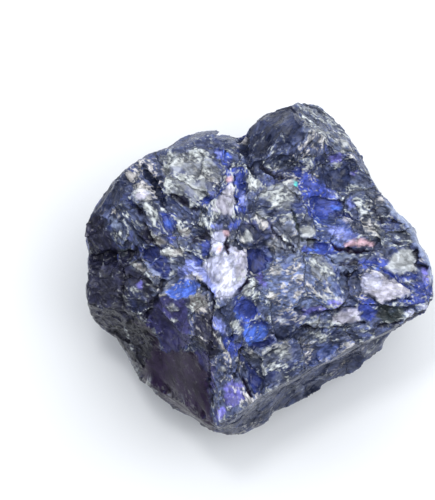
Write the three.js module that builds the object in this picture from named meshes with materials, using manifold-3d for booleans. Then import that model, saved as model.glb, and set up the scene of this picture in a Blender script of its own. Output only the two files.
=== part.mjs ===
// Rough sapphire: one broken lump of crystal, lying on its flattest parting face with its broad
// hackly face up. Millimetres, +Z up, origin on the resting plane under the middle of the stone.
import * as THREE from "three";
import { ConvexGeometry } from "three/addons/geometries/ConvexGeometry.js";
import { TessellateModifier } from "three/addons/modifiers/TessellateModifier.js";
import { mergeVertices } from "three/addons/utils/BufferGeometryUtils.js";
import Module from "manifold-3d";

const wasm = await Module();
wasm.setup();

// ---- driving sizes ---------------------------------------------------------------------------
const SUMMIT = [-3.2, -2.5, 20.6]; // where the faces of the upper side meet
const SKIRT_HEIGHT = 5.5; // the widest line of the underside
const HEART = new THREE.Vector3(0, 0, 9); // a point deep inside
const TURNS = 72; // corners of the body's outline
const SPARE = 0.7; // thickness over the broad face that its plates are broken out of
const CUT_REACH = 2.4; // how far above its floor a cutter reaches
const CUT_LEAN = [1.6, 5.7]; // how far a cutter's walls lean out over that height
const PLATE_TRIM = 0.6; // a plate's floor is this much smaller than its opening
const WEAR_FROM = 9; // height where the wear of the sides gives way to that of the broad face
const WEAR_TO = 15;
const LONGEST_EDGE = 3.5; // the finished surface bends at least this often
const WANDER = 0.3; // how far the finished surface strays from its flat facets
const WANDER_SIZE = 2.2;
const BULGE = 0.04; // how far the sides swell in and out, as a share of the half width
const BULGE_SIZE = 5;
const REST_BLEND = 0.8; // height over which the wear fades in above the resting plane
const SEED = 3;
const GOLDEN_TURN = 2.4; // radians between one random break and the next

// Random breaks: how many, where, and the limits of their length, breadth, floor height and tilt.
const FILL = {
  count: 44,
  radius: 16.5,
  length: [1.6, 4.2],
  breadth: [0.8, 2],
  rise: [0.1, 0.5],
  tilt: [-0.3, 0.3],
};
const SIDE = {
  count: 90,
  up: [-0.72, 0.45],
  length: [3, 7],
  breadth: [1.4, 4],
  rise: [-0.5, -0.1],
  tilt: [-0.25, 0.25],
};

// Rim of the broad face in plan (x right, y away from the viewer), clockwise from the top notch.
const BROW = [
  [-1.9, 13.2], [-0.9, 14.5], [0.8, 15.8], [3.0, 16.3], [3.8, 17.2], [5.6, 17.4], [6.9, 16.8],
  [8.1, 15.8], [8.9, 14.5], [9.1, 12.6], [9.8, 11.5], [11.1, 9.4], [12.4, 7.6], [12.6, 6.7],
  [13.7, 5.9], [14.8, 4.7], [15.7, 3.2], [15.9, 2.4], [16.7, 1.4], [17.1, -0.1], [17.1, -1.8],
  [16.9, -3.5], [16.3, -4.5], [14.9, -5.1], [13.7, -5.8], [10.0, -7.5], [4.0, -10.7],
  [0.0, -13.2], [-3.8, -16.3], [-7.0, -14.2], [-11.2, -11.6], [-13.3, -8.3], [-14.6, -6.5],
  [-16.4, -6.1], [-17.1, -4.8], [-17.4, -3.0], [-17.6, -0.1], [-16.6, 0.9], [-17.9, 2.0],
  [-17.7, 4.3], [-16.7, 6.2], [-15.3, 8.7], [-12.8, 10.6], [-11.9, 11.3], [-9.2, 12.2],
  [-7.5, 13.2], [-6.0, 13.8], [-4.7, 13.9], [-3.3, 13.8],
];
// Widest line of the underside. It passes outside the rim only along the two lower sides.
const SKIRT = [
  [-2.5, 11.6], [1.5, 14.0], [5.0, 14.6], [8.0, 11.8], [10.0, 8.4], [12.6, 4.6], [15.3, 1.8],
  [15.6, -2.8], [14.1, -5.4], [12.5, -6.4], [12.0, -7.5], [11.4, -8.6], [9.5, -9.5], [7.1, -11.0],
  [5.3, -12.4], [3.5, -14.2], [2.2, -16.3], [0.2, -17.5], [-2.4, -18.3], [-3.8, -18.1],
  [-4.7, -16.5], [-6.6, -14.6], [-10.6, -13.2], [-13.1, -12.0], [-14.1, -8.9], [-14.9, -6.6],
  [-15.2, -3.6], [-15.4, 0.4], [-14.6, 4.4], [-12.6, 8.2], [-9.4, 10.4], [-6.0, 11.6],
];
// Rings of the body: height, share of the brow outline against the skirt's, and scale.
const RINGS = [
  [0, 0, 0.62], [2.2, 0, 0.86], [SKIRT_HEIGHT, 0, 1.02], [9, 0.75, 1], [12, 1, 0.995],
  [15.6, 1, 0.995], [18, 1, 0.96], [24, 1, 0.68],
];
// Broken faces of the upper side: a point on each, and its slopes along x and y.
const TOP_FACES = [
  { at: SUMMIT, slope: [-0.2, -0.13] }, // right and back
  { at: SUMMIT, slope: [-0.17, 0.3] }, // down to the long straight edge
  { at: SUMMIT, slope: [0.2, -0.24] }, // back left lobe
  { at: [-5.0, -1.5, 20.0], slope: [0.5, 0.05] }, // left lobe
];
// The smooth face broken down the front left: a point on it, its slopes, its corners in plan, and
// how far its walls lean over in 25 mm.
const CLEAVE = {
  at: [-6.2, -7.6, 17.5],
  slope: [0.95, 0.35],
  corners: [[-19, -5.9], [-12, -6.8], [-6.2, -7.6], [-3.5, -17.8], [-19, -17.8]],
  lean: [3.5, 8, 25],
};
// Broken faces of the sides and underside: azimuth and elevation of the outward normal in degrees,
// and distance from the heart.
const SIDE_FACES = [
  [20, -38, 13.2], [75, -42, 12.2], [128, -36, 13.2], [178, -44, 12.6], [214, -34, 13.9],
  [262, -50, 12.8], [330, -46, 12.8], [52, 20, 15.9], [110, 26, 15.9], [150, 18, 18.3],
  [296, -10, 13.9],
];
// Lumps and dips of the broad face in plan: middle x and y, radius, height.
const SWELLS = [
  [-7.0, 9.0, 4.5, 0.9], [-13.6, 6.4, 3.4, 0.7], [-15.4, -2.2, 3.4, 0.9], [-11.5, -1.2, 2.6, 0.6],
  [5.2, 13.6, 4.0, 0.9], [2.6, 10.0, 2.6, -0.9], [8.0, 9.6, 2.6, -0.8], [3.6, 0.2, 4.2, 0.6],
  [12.4, -1.4, 4.0, 0.6], [-2.6, 9.4, 2.0, -0.8], [-9.6, 4.2, 2.0, -0.6], [-13.5, 1.2, 2.2, -1.0],
  [-8.8, -0.6, 2.2, -0.6], [-1.6, -6.6, 2.4, -0.9], [-1.0, -10.6, 2.2, -0.7], [6.6, 5.8, 2.4, -0.5],
  [3.6, 6.6, 2.8, 0.4], [6.0, -7.8, 3.0, -0.4], [-3.2, 0.4, 3.0, 0.3],
];
// Plates broken out of the broad face: middle x and y, length, breadth, turn in degrees, height of
// the floor above the face, extra slopes along x and y.
const PLATES = [
  // back left lobe
  [-7.5, 10.0, 5.6, 3.6, 20, 0.5, -0.1, -0.1],
  [-6.0, 8.0, 5.2, 3.2, 10, 0.8, -0.12, -0.08],
  [-3.5, 7.2, 5.0, 3.2, 80, 0.6, -0.15, -0.05],
  [-4.7, 12.5, 5.0, 2.2, 8, 0.1, 0.1, 0.15],
  [-9.0, 11.6, 4.2, 2.2, 30, 0.1, 0.1, 0.1],
  [-7.5, 6.0, 5.0, 2.4, -20, 0.1, 0.1, 0.2],
  [-7.0, 3.8, 3.4, 2.2, 10, 0.4, -0.1, 0.1],
  [-8.2, 2.2, 3.4, 2.4, -12, 0.6, -0.15, -0.1],
  [-10.9, 6.8, 4.4, 1.9, 108, 0.7, -0.2, -0.1],
  [-13.4, 7.8, 4.4, 2.6, 40, 0.2, 0.0, -0.05],
  [-14.4, 5.4, 3.6, 2.4, 20, 0.1, 0.12, 0.1],
  [-15.8, 3.4, 3.0, 2.8, 60, 0.2, 0.1, 0.0],
  [-13.0, 3.0, 4.0, 2.4, -10, 0.3, 0.15, 0.1],
  [-10.0, 3.2, 2.4, 1.6, -35, 0.5, -0.1, 0.1],
  [-12.1, 5.3, 3.0, 2.2, 100, 0.2, 0.2, 0.0],
  [-10.2, 9.6, 2.6, 2.4, 40, 0.2, 0.0, 0.1],
  // left lobe
  [-15.4, -0.6, 3.6, 3.0, -20, 0.3, 0.1, 0.1],
  [-15.8, -3.4, 3.4, 3.2, 50, 0.2, 0.1, 0.2],
  [-12.5, 0.2, 4.0, 2.4, -30, 0.5, -0.1, -0.1],
  [-11.7, -2.0, 3.6, 2.6, 20, 0.6, -0.1, 0.1],
  [-13.0, -4.4, 4.0, 2.6, -10, 0.3, 0.0, 0.1],
  [-10.4, -3.4, 3.0, 2.0, 90, 0.2, 0.1, 0.1],
  // middle
  [-7.8, -1.5, 4.2, 2.6, 15, 0.2, 0.0, -0.25],
  [-3.2, 0.6, 5.6, 4.4, 70, 0.8, -0.1, -0.02],
  [-3.7, -2.3, 4.4, 3.2, -30, 0.5, -0.05, 0.06],
  [-3.8, 3.3, 3.2, 2.6, 90, 0.9, -0.05, -0.1],
  [-5.4, 0.4, 2.8, 2.2, 90, 0.3, 0.2, 0.0],
  [-1.1, 3.5, 2.2, 1.9, 60, 0.3, 0.0, -0.1],
  [0.2, 0.8, 3.2, 2.2, 50, -0.8, 0.0, 0.1],
  [-8.6, -5.0, 4.2, 3.0, 80, 0.3, -0.2, 0.1],
  [-5.8, -3.0, 2.8, 2.4, 60, 0.8, 0.0, 0.0],
  [-5.4, -5.6, 5.2, 1.8, 105, 0.8, 0.2, 0.1],
  [1.0, 4.5, 3.8, 2.8, -50, 0.3, -0.1, 0.0],
  [2.7, 7.2, 5.0, 4.0, 15, 0.5, -0.05, -0.1],
  [0.1, 8.4, 3.2, 2.8, 60, 0.3, 0.1, 0.0],
  [4.0, -0.4, 6.0, 5.0, 20, 0.7, -0.05, -0.1],
  [6.7, -1.5, 3.6, 3.2, -20, 0.5, 0.1, 0.1],
  [1.5, -3.0, 4.2, 3.2, 30, 0.5, 0.0, 0.1],
  [-1.0, -1.5, 3.2, 1.9, 75, 0.7, -0.1, 0.0],
  [-0.6, -6.2, 3.0, 2.6, 60, 0.2, -0.15, 0.05],
  [-1.5, -4.1, 2.6, 2.0, 20, 0.1, 0.0, -0.1],
  [2.6, -5.6, 5.0, 2.4, 15, 0.3, 0.0, 0.15],
  [6.0, -4.6, 5.0, 2.0, 15, 0.4, 0.05, 0.1],
  [8.4, -4.8, 4.8, 2.4, 25, 0.5, -0.1, -0.1],
  [2.6, -8.1, 5.6, 2.4, 15, -0.1, 0.0, 0.1],
  [2.0, -10.3, 5.2, 1.8, 28, 0.1, 0.0, 0.12],
  [6.6, -7.5, 6.0, 1.9, 22, 0.2, 0.0, 0.15],
  [10.6, -6.4, 5.0, 1.6, 25, 0.2, -0.05, 0.1],
  [-0.8, -10.0, 4.6, 2.4, 100, -0.5, 0.1, 0.0],
  [-2.9, -12.0, 3.8, 3.0, 110, 0.3, -0.05, 0.0],
  [-4.5, -9.6, 4.4, 2.2, 112, 0.2, 0.15, 0.05],
  // right
  [7.0, 6.6, 3.6, 2.6, 30, -0.5, 0.1, 0.1],
  [8.6, 3.9, 4.2, 2.6, -30, 0.5, -0.1, -0.1],
  [8.5, 2.4, 4.6, 1.4, -5, 0.4, 0.0, -0.1],
  [10.6, 5.6, 4.2, 3.2, -20, 0.4, -0.1, -0.1],
  [4.9, 3.8, 2.8, 2.2, 20, 0.5, -0.1, -0.1],
  [13.0, 3.6, 4.4, 2.4, -38, 0.3, 0.0, -0.1],
  [13.8, 0.8, 6.2, 2.2, 8, 0.3, -0.05, -0.05],
  [12.0, -1.6, 6.4, 3.8, -10, 0.6, 0.02, 0.05],
  [15.6, -1.6, 4.6, 2.0, 85, 0.1, -0.2, 0.0],
  [10.6, -3.8, 3.0, 2.6, 30, 0.1, 0.0, 0.1],
  [13.0, -4.0, 4.4, 2.0, 15, 0.2, 0.1, 0.1],
  [9.4, 1.0, 6.0, 1.5, 3, 0.1, 0.0, 0.1],
  [8.7, -1.4, 2.8, 2.2, 80, 0.1, 0.1, 0.0],
  [14.6, -4.2, 1.7, 1.2, 10, 0.6, 0.0, 0.1],
  // peak
  [6.4, 14.2, 4.2, 3.6, -55, 0.5, -0.1, -0.1],
  [8.0, 12.0, 4.0, 2.8, -60, 0.4, -0.1, -0.05],
  [0.2, 13.6, 6.4, 4.4, 40, -0.9, 0.7, -0.1],
  [1.8, 11.6, 5.0, 1.9, 0, 0.3, 0.1, 0.1],
  [5.0, 12.0, 3.4, 2.6, 70, 0.3, 0.0, 0.1],
  [1.2, 10.3, 4.4, 1.3, -4, -0.7, 0.0, 0.1],
  [7.4, 9.8, 4.2, 1.7, -10, -0.7, 0.0, 0.2],
  [9.8, 8.0, 3.6, 2.8, -60, 0.3, 0.0, -0.1],
  [5.0, 9.0, 3.0, 2.0, 30, 0.1, -0.1, 0.0],
];
// Grooves across the broad face: depth, lean of the walls, then points in plan.
const GROOVES = [
  [0.9, 0.7, [-1.9, 14.0], [-2.7, 12.2], [-3.0, 10.6]],
  [0.3, 0.9, [-3.0, 10.4], [-2.2, 8.6], [-2.0, 7.4]],
  [0.1, 1.0, [-11.4, 9.8], [-10.3, 8.2], [-10.0, 7.0]],
  [0.2, 0.9, [-9.4, 5.4], [-8.8, 3.6]],
  [1.2, 0.8, [-18.2, 1.4], [-15.8, 0.9], [-14.4, 1.3]],
  [0.3, 0.9, [-14.0, 1.2], [-11.8, 1.7], [-10.6, 0.9]],
  [0.3, 0.9, [-4.4, -3.8], [-3.6, -5.6], [-3.2, -7.0]],
  [0.0, 1.0, [4.4, 2.5], [6.4, 2.1]],
  [0.1, 0.9, [8.2, 1.9], [10.2, 2.0], [11.8, 2.5]],
  [0.2, 1.0, [-1.2, -7.9], [0.6, -7.4]],
  [0.1, 1.0, [3.6, -6.6], [5.8, -5.9]],
  [0.0, 0.9, [-1.4, -8.6], [-1.3, -10.6]],
];

// ---- small tools -------------------------------------------------------------------------------
function randomFrom(seed) {
  let state = seed;
  return () => {
    state = (state * 1664525 + 1013904223) % 4294967296;
    return state / 4294967296;
  };
}

const random = randomFrom(SEED);
const mix = (a, b, t) => a + (b - a) * t;
const between = ([low, high]) => mix(low, high, random());
const fract = (value) => value - Math.floor(value);
const chance = (i, j, k) => fract(Math.sin(i * 127.1 + j * 311.7 + k * 74.7) * 43758.5453);

// Smooth noise between -1 and 1.
function noise(x, y, z) {
  const cell = [x, y, z].map(Math.floor);
  const [u, v, w] = [x, y, z].map((value) => fract(value) ** 2 * (3 - 2 * fract(value)));
  const corner = (a, b, c) => chance(cell[0] + a, cell[1] + b, cell[2] + c);
  const along = (b, c) => mix(corner(0, b, c), corner(1, b, c), u);
  return 2 * mix(mix(along(0, 0), along(1, 0), v), mix(along(0, 1), along(1, 1), v), w) - 1;
}

function solidOf(geometry) {
  const position = geometry.getAttribute("position");
  const plain = new THREE.BufferGeometry().setAttribute("position", position);
  plain.setIndex(geometry.getIndex());
  const merged = mergeVertices(plain, 1e-4);
  return new wasm.Manifold(new wasm.Mesh({
    numProp: 3,
    vertProperties: merged.getAttribute("position").array,
    triVerts: new Uint32Array(merged.getIndex().array),
  }));
}

function geometryOf(solid) {
  const { vertProperties, triVerts } = solid.getMesh();
  return new THREE.BufferGeometry()
    .setAttribute("position", new THREE.BufferAttribute(vertProperties, 3))
    .setIndex(new THREE.BufferAttribute(triVerts, 1));
}

// Distance from the plan's middle to a closed outline, along an angle.
function reach(outline, angle) {
  const c = Math.cos(angle);
  const s = Math.sin(angle);
  let farthest = 0;
  outline.forEach(([ax, ay], i) => {
    const [bx, by] = outline[(i + 1) % outline.length];
    const det = c * (by - ay) - s * (bx - ax);
    if (Math.abs(det) < 1e-9) return;
    const along = (ax * (by - ay) - ay * (bx - ax)) / det;
    const share = (ax * s - ay * c) / det;
    if (along > 0 && share >= 0 && share <= 1) farthest = Math.max(farthest, along);
  });
  return farthest;
}

const upright = new THREE.Vector3(0, 0, 1);
const down = new THREE.Vector3(0, 0, -1);
const normalOf = (slopeX, slopeY) => new THREE.Vector3(-slopeX, -slopeY, 1).normalize();
const planeHeight = ({ at, slope }, x, y) => at[2] + slope[0] * (x - at[0]) + slope[1] * (y - at[1]);

// The face of the upper side that lies over a place in plan: its height there and its slopes.
function topFaceAt(x, y) {
  const heights = TOP_FACES.map((face) => planeHeight(face, x, y));
  const height = Math.min(...heights);
  return { height, slope: TOP_FACES[heights.indexOf(height)].slope };
}

// ---- the body: rings joined up the sides, cut by the big broken faces ----------------------------
function bodyGeometry() {
  const steps = RINGS.length - 1;
  const column = new THREE.CylinderGeometry(1, 1, 1, TURNS, steps);
  const position = column.getAttribute("position");
  for (let i = 0; i < position.count; i++) {
    const [height, share, scale] = RINGS[Math.round((position.getY(i) + 0.5) * steps)];
    const angle = Math.atan2(position.getX(i), position.getZ(i));
    const edge = scale * mix(reach(SKIRT, angle), reach(BROW, angle), share);
    const onAxis = Math.hypot(position.getX(i), position.getZ(i)) < 0.5;
    const radius = onAxis ? 0 : edge;
    position.setXYZ(i, radius * Math.cos(angle), radius * Math.sin(angle), height);
  }
  return column;
}

// A block that takes away everything beyond a plane.
function knife(at, normal) {
  const block = new THREE.BoxGeometry(90, 90, 40).translate(0, 0, 20);
  block.applyQuaternion(new THREE.Quaternion().setFromUnitVectors(upright, normal));
  return solidOf(block.translate(at.x, at.y, at.z));
}

function cleave() {
  const [leanX, leanY, rise] = CLEAVE.lean;
  const points = CLEAVE.corners.flatMap(([x, y]) => {
    const floor = planeHeight(CLEAVE, x, y);
    return [
      new THREE.Vector3(x, y, floor),
      new THREE.Vector3(x + leanX, y + leanY, floor + rise),
    ];
  });
  return solidOf(new ConvexGeometry(points));
}

function body() {
  const top = TOP_FACES.map(({ at, slope }) => (
    knife(new THREE.Vector3(at[0], at[1], at[2] + SPARE), normalOf(...slope))
  ));
  const sides = SIDE_FACES.map(([azimuth, elevation, distance]) => {
    const outward = new THREE.Vector3(1, 0, 0)
      .applyAxisAngle(new THREE.Vector3(0, -1, 0), THREE.MathUtils.degToRad(elevation))
      .applyAxisAngle(upright, THREE.MathUtils.degToRad(azimuth));
    return knife(HEART.clone().addScaledVector(outward, distance), outward);
  });
  return solidOf(bodyGeometry()).subtract(wasm.Manifold.union([...top, ...sides, cleave()]));
}

// ---- breaks: each takes a plate out of the surface and leaves a flat floor with leaning walls -----
function breakOut({ floor, normal, turn, length, breadth }) {
  const corners = 4 + Math.floor(3 * random());
  const points = [];
  for (let i = 0; i < corners; i++) {
    const angle = ((i + 0.6 * random()) / corners) * 2 * Math.PI;
    const share = 0.5 * between([0.85, 1.15]);
    const x = length * share * Math.cos(angle);
    const y = breadth * share * Math.sin(angle);
    const lean = between(CUT_LEAN);
    points.push(new THREE.Vector3(x, y, 0));
    points.push(new THREE.Vector3(x + lean * Math.cos(angle), y + lean * Math.sin(angle), CUT_REACH));
  }
  const block = new ConvexGeometry(points);
  block.rotateZ(THREE.MathUtils.degToRad(turn));
  block.applyQuaternion(new THREE.Quaternion().setFromUnitVectors(upright, normal));
  return solidOf(block.translate(floor.x, floor.y, floor.z));
}

function plateBreak([x, y, length, breadth, turn, rise, tiltX, tiltY]) {
  const { height, slope } = topFaceAt(x, y);
  return breakOut({
    floor: new THREE.Vector3(x, y, height + rise),
    normal: normalOf(slope[0] + tiltX, slope[1] + tiltY),
    turn,
    length: length - PLATE_TRIM,
    breadth: breadth - PLATE_TRIM,
  });
}

function fillBreaks() {
  const breaks = [];
  for (let i = 0; i < FILL.count; i++) {
    const radius = FILL.radius * Math.sqrt((i + 0.5) / FILL.count);
    const x = radius * Math.cos(GOLDEN_TURN * i);
    const y = radius * Math.sin(GOLDEN_TURN * i);
    const { height, slope } = topFaceAt(x, y);
    const overCleave = planeHeight(CLEAVE, x, y) < height && y < CLEAVE.corners[0][1];
    if (overCleave) continue;
    breaks.push(breakOut({
      floor: new THREE.Vector3(x, y, height + between(FILL.rise)),
      normal: normalOf(slope[0] + between(FILL.tilt), slope[1] + between(FILL.tilt)),
      turn: 360 * random(),
      length: between(FILL.length),
      breadth: between(FILL.breadth),
    }));
  }
  return breaks;
}

// Random breaks over the sides and the underside, found by looking out from the heart.
function sideBreaks(rock) {
  const seenFromInside = new THREE.MeshBasicMaterial({ side: THREE.BackSide });
  const shell = new THREE.Mesh(geometryOf(rock), seenFromInside);
  const caster = new THREE.Raycaster();
  const breaks = [];
  for (let i = 0; i < SIDE.count; i++) {
    const up = mix(...SIDE.up, (i + 0.5) / SIDE.count);
    const level = Math.sqrt(1 - up * up);
    const x = level * Math.cos(GOLDEN_TURN * i);
    const y = level * Math.sin(GOLDEN_TURN * i);
    caster.set(HEART, new THREE.Vector3(x, y, up));
    const [{ point, face }] = caster.intersectObject(shell);
    const tilt = new THREE.Vector3(between(SIDE.tilt), between(SIDE.tilt), between(SIDE.tilt));
    breaks.push(breakOut({
      floor: point.addScaledVector(face.normal, between(SIDE.rise)),
      normal: tilt.add(face.normal).normalize(),
      turn: 360 * random(),
      length: between(SIDE.length),
      breadth: between(SIDE.breadth),
    }));
  }
  return breaks;
}

function groove([depth, lean, ...path]) {
  const pieces = path.slice(1).map(([bx, by], i) => {
    const [ax, ay] = path[i];
    const side = new THREE.Vector3(ay - by, bx - ax, 0).normalize();
    const points = [[ax, ay], [bx, by]].flatMap(([x, y]) => {
      const foot = new THREE.Vector3(x, y, topFaceAt(x, y).height - depth);
      const over = foot.clone().addScaledVector(upright, CUT_REACH);
      return [
        foot,
        over.clone().addScaledVector(side, lean * CUT_REACH),
        over.clone().addScaledVector(side, -lean * CUT_REACH),
      ];
    });
    return solidOf(new ConvexGeometry(points));
  });
  return wasm.Manifold.union(pieces);
}

// ---- the finished stone ----------------------------------------------------------------------------
function brokenStone() {
  const rock = body();
  return rock.subtract(wasm.Manifold.union([
    ...PLATES.map(plateBreak),
    ...fillBreaks(),
    ...sideBreaks(rock),
    ...GROOVES.map(groove),
    knife(new THREE.Vector3(0, 0, 0), down),
  ]));
}

function swell(x, y) {
  return SWELLS.reduce((total, [cx, cy, radius, height]) => (
    total + height * Math.exp(-((x - cx) ** 2 + (y - cy) ** 2) / radius ** 2)
  ), 0);
}

// Natural wear: the facets bend a little, the broad face swells, and the resting face stays flat.
function weathered(solid) {
  const fine = new TessellateModifier(LONGEST_EDGE, 24).modify(geometryOf(solid).toNonIndexed());
  const geometry = mergeVertices(fine, 1e-4);
  const position = geometry.getAttribute("position");
  for (let i = 0; i < position.count; i++) {
    const at = new THREE.Vector3().fromBufferAttribute(position, i);
    const near = at.clone().divideScalar(WANDER_SIZE);
    const far = at.clone().divideScalar(BULGE_SIZE);
    const clear = THREE.MathUtils.smoothstep(at.z, 0, REST_BLEND);
    const top = THREE.MathUtils.smoothstep(at.z, WEAR_FROM, WEAR_TO);
    const widen = 1 + BULGE * clear * (1 - top) * noise(far.x, far.y, far.z);
    const rise = clear * WANDER * noise(near.x, near.y, near.z + 37);
    position.setXYZ(
      i,
      at.x * widen + WANDER * noise(near.x + 11, near.y, near.z),
      at.y * widen + WANDER * noise(near.x, near.y + 23, near.z),
      at.z + rise + top * swell(at.x, at.y),
    );
  }
  geometry.computeBoundingBox();
  const middle = geometry.boundingBox.getCenter(new THREE.Vector3());
  return geometry.translate(-middle.x, -middle.y, 0);
}

const sapphire = new THREE.MeshStandardMaterial({ color: 0x1c2550, roughness: 0.3, metalness: 0 });
const stone = new THREE.Mesh(weathered(brokenStone()), sapphire);
stone.name = "sapphire_stone";

const roughSapphire = new THREE.Group();
roughSapphire.add(stone);
export default roughSapphire;
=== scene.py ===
import math

import bmesh
import bpy
import numpy as np
from mathutils import Matrix, Vector, noise
from mathutils.bvhtree import BVHTree


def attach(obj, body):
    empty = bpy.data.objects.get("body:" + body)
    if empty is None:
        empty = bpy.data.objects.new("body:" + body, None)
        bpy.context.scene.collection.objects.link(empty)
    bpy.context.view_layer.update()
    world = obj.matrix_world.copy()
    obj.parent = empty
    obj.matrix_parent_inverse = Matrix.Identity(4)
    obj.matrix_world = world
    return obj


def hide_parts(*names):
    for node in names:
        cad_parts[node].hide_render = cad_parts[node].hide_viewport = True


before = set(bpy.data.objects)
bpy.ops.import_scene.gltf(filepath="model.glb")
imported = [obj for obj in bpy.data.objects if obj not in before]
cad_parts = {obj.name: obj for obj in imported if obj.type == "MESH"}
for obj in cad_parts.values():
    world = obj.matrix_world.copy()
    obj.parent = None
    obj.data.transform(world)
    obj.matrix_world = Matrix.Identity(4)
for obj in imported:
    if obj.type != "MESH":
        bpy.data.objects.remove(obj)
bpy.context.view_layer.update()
print("frame loaded")

mm = 1000.0      # the stone is worked in millimetres, and made metres at the very end
driftSeed = 5    # unseeded, the drifting edges would fall anew each time
noise.seed_set(driftSeed)


def placed(name, data):
    thing = bpy.data.objects.new(name, data)
    bpy.context.scene.collection.objects.link(thing)
    return thing


cameraSettings = {
    "centre": (-4.12, 1.95),    # the place that the camera looks straight down on, mm
    "level": 12.0,              # height that is in true scale, mm
    "distance": 700.0,          # mm above that level
    "tall": 50.0,               # mm that the long side of the view takes in there
    "sensor": 36.0,
    "clip": (0.01, 20.0),       # m
}


def makeCamera(s):
    data = bpy.data.cameras.new("camera")
    data.sensor_width = s["sensor"]
    data.lens = s["sensor"] * s["distance"] / s["tall"]
    data.clip_start, data.clip_end = s["clip"]
    camera = placed("camera", data)
    camera.location = (s["centre"][0] / mm, s["centre"][1] / mm, (s["level"] + s["distance"]) / mm)
    bpy.context.scene.camera = camera


lightSettings = {
    # name: direction it comes from, distance m, width m, height m, watts, colour
    "keyBox": ((0.4, 0.46, 1.0), 0.5, 0.7, 0.6, 3.7, (0.95, 0.97, 1.0)),
    "fillBox": ((-0.9, 0.5, 0.8), 0.55, 0.30, 0.34, 0.7, (0.92, 0.95, 1.0)),
    "glintBox": ((-0.12, 0.3, 1.0), 0.5, 0.06, 0.06, 0.5, (0.97, 0.98, 1.0)),
    "lowBox": ((0.9, -0.9, 0.5), 0.5, 0.24, 0.16, 0.25, (0.92, 0.95, 1.0)),
}
worldSettings = {"colour": (0.93, 0.96, 1.0), "strength": 0.42}


def makeLights(boxes, world):
    for name, (direction, distance, wide, high, watts, colour) in boxes.items():
        data = bpy.data.lights.new(name, "AREA")
        data.shape = "RECTANGLE"
        data.size = wide
        data.size_y = high
        data.energy = watts
        data.color = colour
        light = placed(name, data)
        light.location = Vector(direction).normalized() * distance
        light.rotation_euler = Vector(direction).to_track_quat("Z", "Y").to_euler()
    sky = bpy.data.worlds.new("studio")
    bpy.context.scene.world = sky
    sky.use_nodes = True
    background = sky.node_tree.nodes["Background"]
    background.inputs["Color"].default_value = (*world["colour"], 1)
    background.inputs["Strength"].default_value = world["strength"]


floorSettings = {"side": 6.0, "colour": (0.80, 0.81, 0.82), "roughness": 0.7}


def makeFloor(s):
    half = s["side"] / 2
    corners = [(-half, -half, 0), (half, -half, 0), (half, half, 0), (-half, half, 0)]
    mesh = bpy.data.meshes.new("floor")
    mesh.from_pydata(corners, [], [(0, 1, 2, 3)])
    material = bpy.data.materials.new("paleFloor")
    material.use_nodes = True
    shader = material.node_tree.nodes["Principled BSDF"]
    shader.inputs["Base Color"].default_value = (*s["colour"], 1)
    shader.inputs["Roughness"].default_value = s["roughness"]
    mesh.materials.append(material)
    floor = placed("floor", mesh)


makeCamera(cameraSettings)
makeLights(lightSettings, worldSettings)
makeFloor(floorSettings)
bpy.context.scene.view_settings.view_transform = "Standard"
print("camera, lights and floor made")


meshSettings = {
    "grain": 0.165,         # mm between the points of the fine mesh
    "merge": 0.0005,        # points closer than this are one, mm
    "triangles": 196000,    # at most, in the finished stone
    "proudRounds": 9,       # rounds of smoothing that its ridges and hollows are measured against
    "sharpAngle": 30,       # degrees
}


def evaluatedMesh(thing, name):
    graph = bpy.context.evaluated_depsgraph_get()
    graph.update()
    mesh = bpy.data.meshes.new_from_object(thing.evaluated_get(graph))
    mesh.name = name
    return mesh


def fineStone(node, s):
    mesh = node.data.copy()
    mesh.transform(Matrix.Scale(mm, 4))
    work = bmesh.new()
    work.from_mesh(mesh)
    bmesh.ops.remove_doubles(work, verts=work.verts, dist=s["merge"])
    work.to_mesh(mesh)
    work.free()
    mesh.materials.clear()
    raw = placed("rawStone", mesh)
    remesh = raw.modifiers.new("remesh", "REMESH")
    remesh.mode = "VOXEL"
    remesh.voxel_size = s["grain"]
    remesh.adaptivity = 0.0
    out = evaluatedMesh(raw, "fineStone")
    bpy.data.objects.remove(raw)
    return out


def thinned(mesh, most):
    count = sum(len(p.vertices) - 2 for p in mesh.polygons)
    thing = placed("thinning", mesh)
    decimate = thing.modifiers.new("decimate", "DECIMATE")
    decimate.ratio = min(1.0, most / count)
    decimate.use_collapse_triangulate = True
    out = evaluatedMesh(thing, mesh.name + "Thin")
    bpy.data.objects.remove(thing)
    return out


fine = fineStone(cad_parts["sapphire_stone"], meshSettings)
print("fine stone:", len(fine.vertices), "points", len(fine.polygons), "faces")


# Places are millimetres seen from above. Each block of the stone has its own parting direction.
blockSettings = {
    # x, y, turn of the streaks in degrees
    "top": [
        (-12, 8, -38), (-6, 11, -30), (-8, 6, -42), (-14, 3, -60), (-11, 5, -50), (-15.5, 6, 65),
        (-4, 5, -75), (-1, 8, 80), (3, 12.5, 55), (7, 13.5, -60), (5, 9, 10), (8, 9.5, -25),
        (2, 6, 20), (0, 3, -70), (-3.5, 0.5, 60), (-6, 2, -20), (-9, 1, -25), (-13, -2, -35),
        (-15, -5, 70), (-10, -5, -60), (-7.5, -2, 15), (-5, -6, -65), (3, -1, 15), (6, -1, -40),
        (9, 3, 10), (6, 5, 0), (11, 5, -15), (13, 1, -20), (12, -2, -5), (10, -5, 20),
        (4, -5, 25), (7, -7, 28), (1, -8, 30), (-3, -10, -70), (-1, -5, 60), (-8, -12, -55),
    ],
    "sides": 46,            # more blocks, strewn over the sides
    "sidesBelow": 11.0,     # mm
    "sideTurn": 1.2,        # their turn either way, radians
    "rise": 0.35,           # how steeply the streaks of a block may climb or fall
    "stretch": 1.75,        # length of the grain against its width
    "spread": 20.0,         # mm that the pattern of each block is shifted by, at most
    "wander": (2.2, 0.9, 3.1),    # drift of the borders: size and amount in mm, and its own shift
    "skyHeight": 60.0,      # mm, above all of the stone
    "seed": 4,
}


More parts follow.
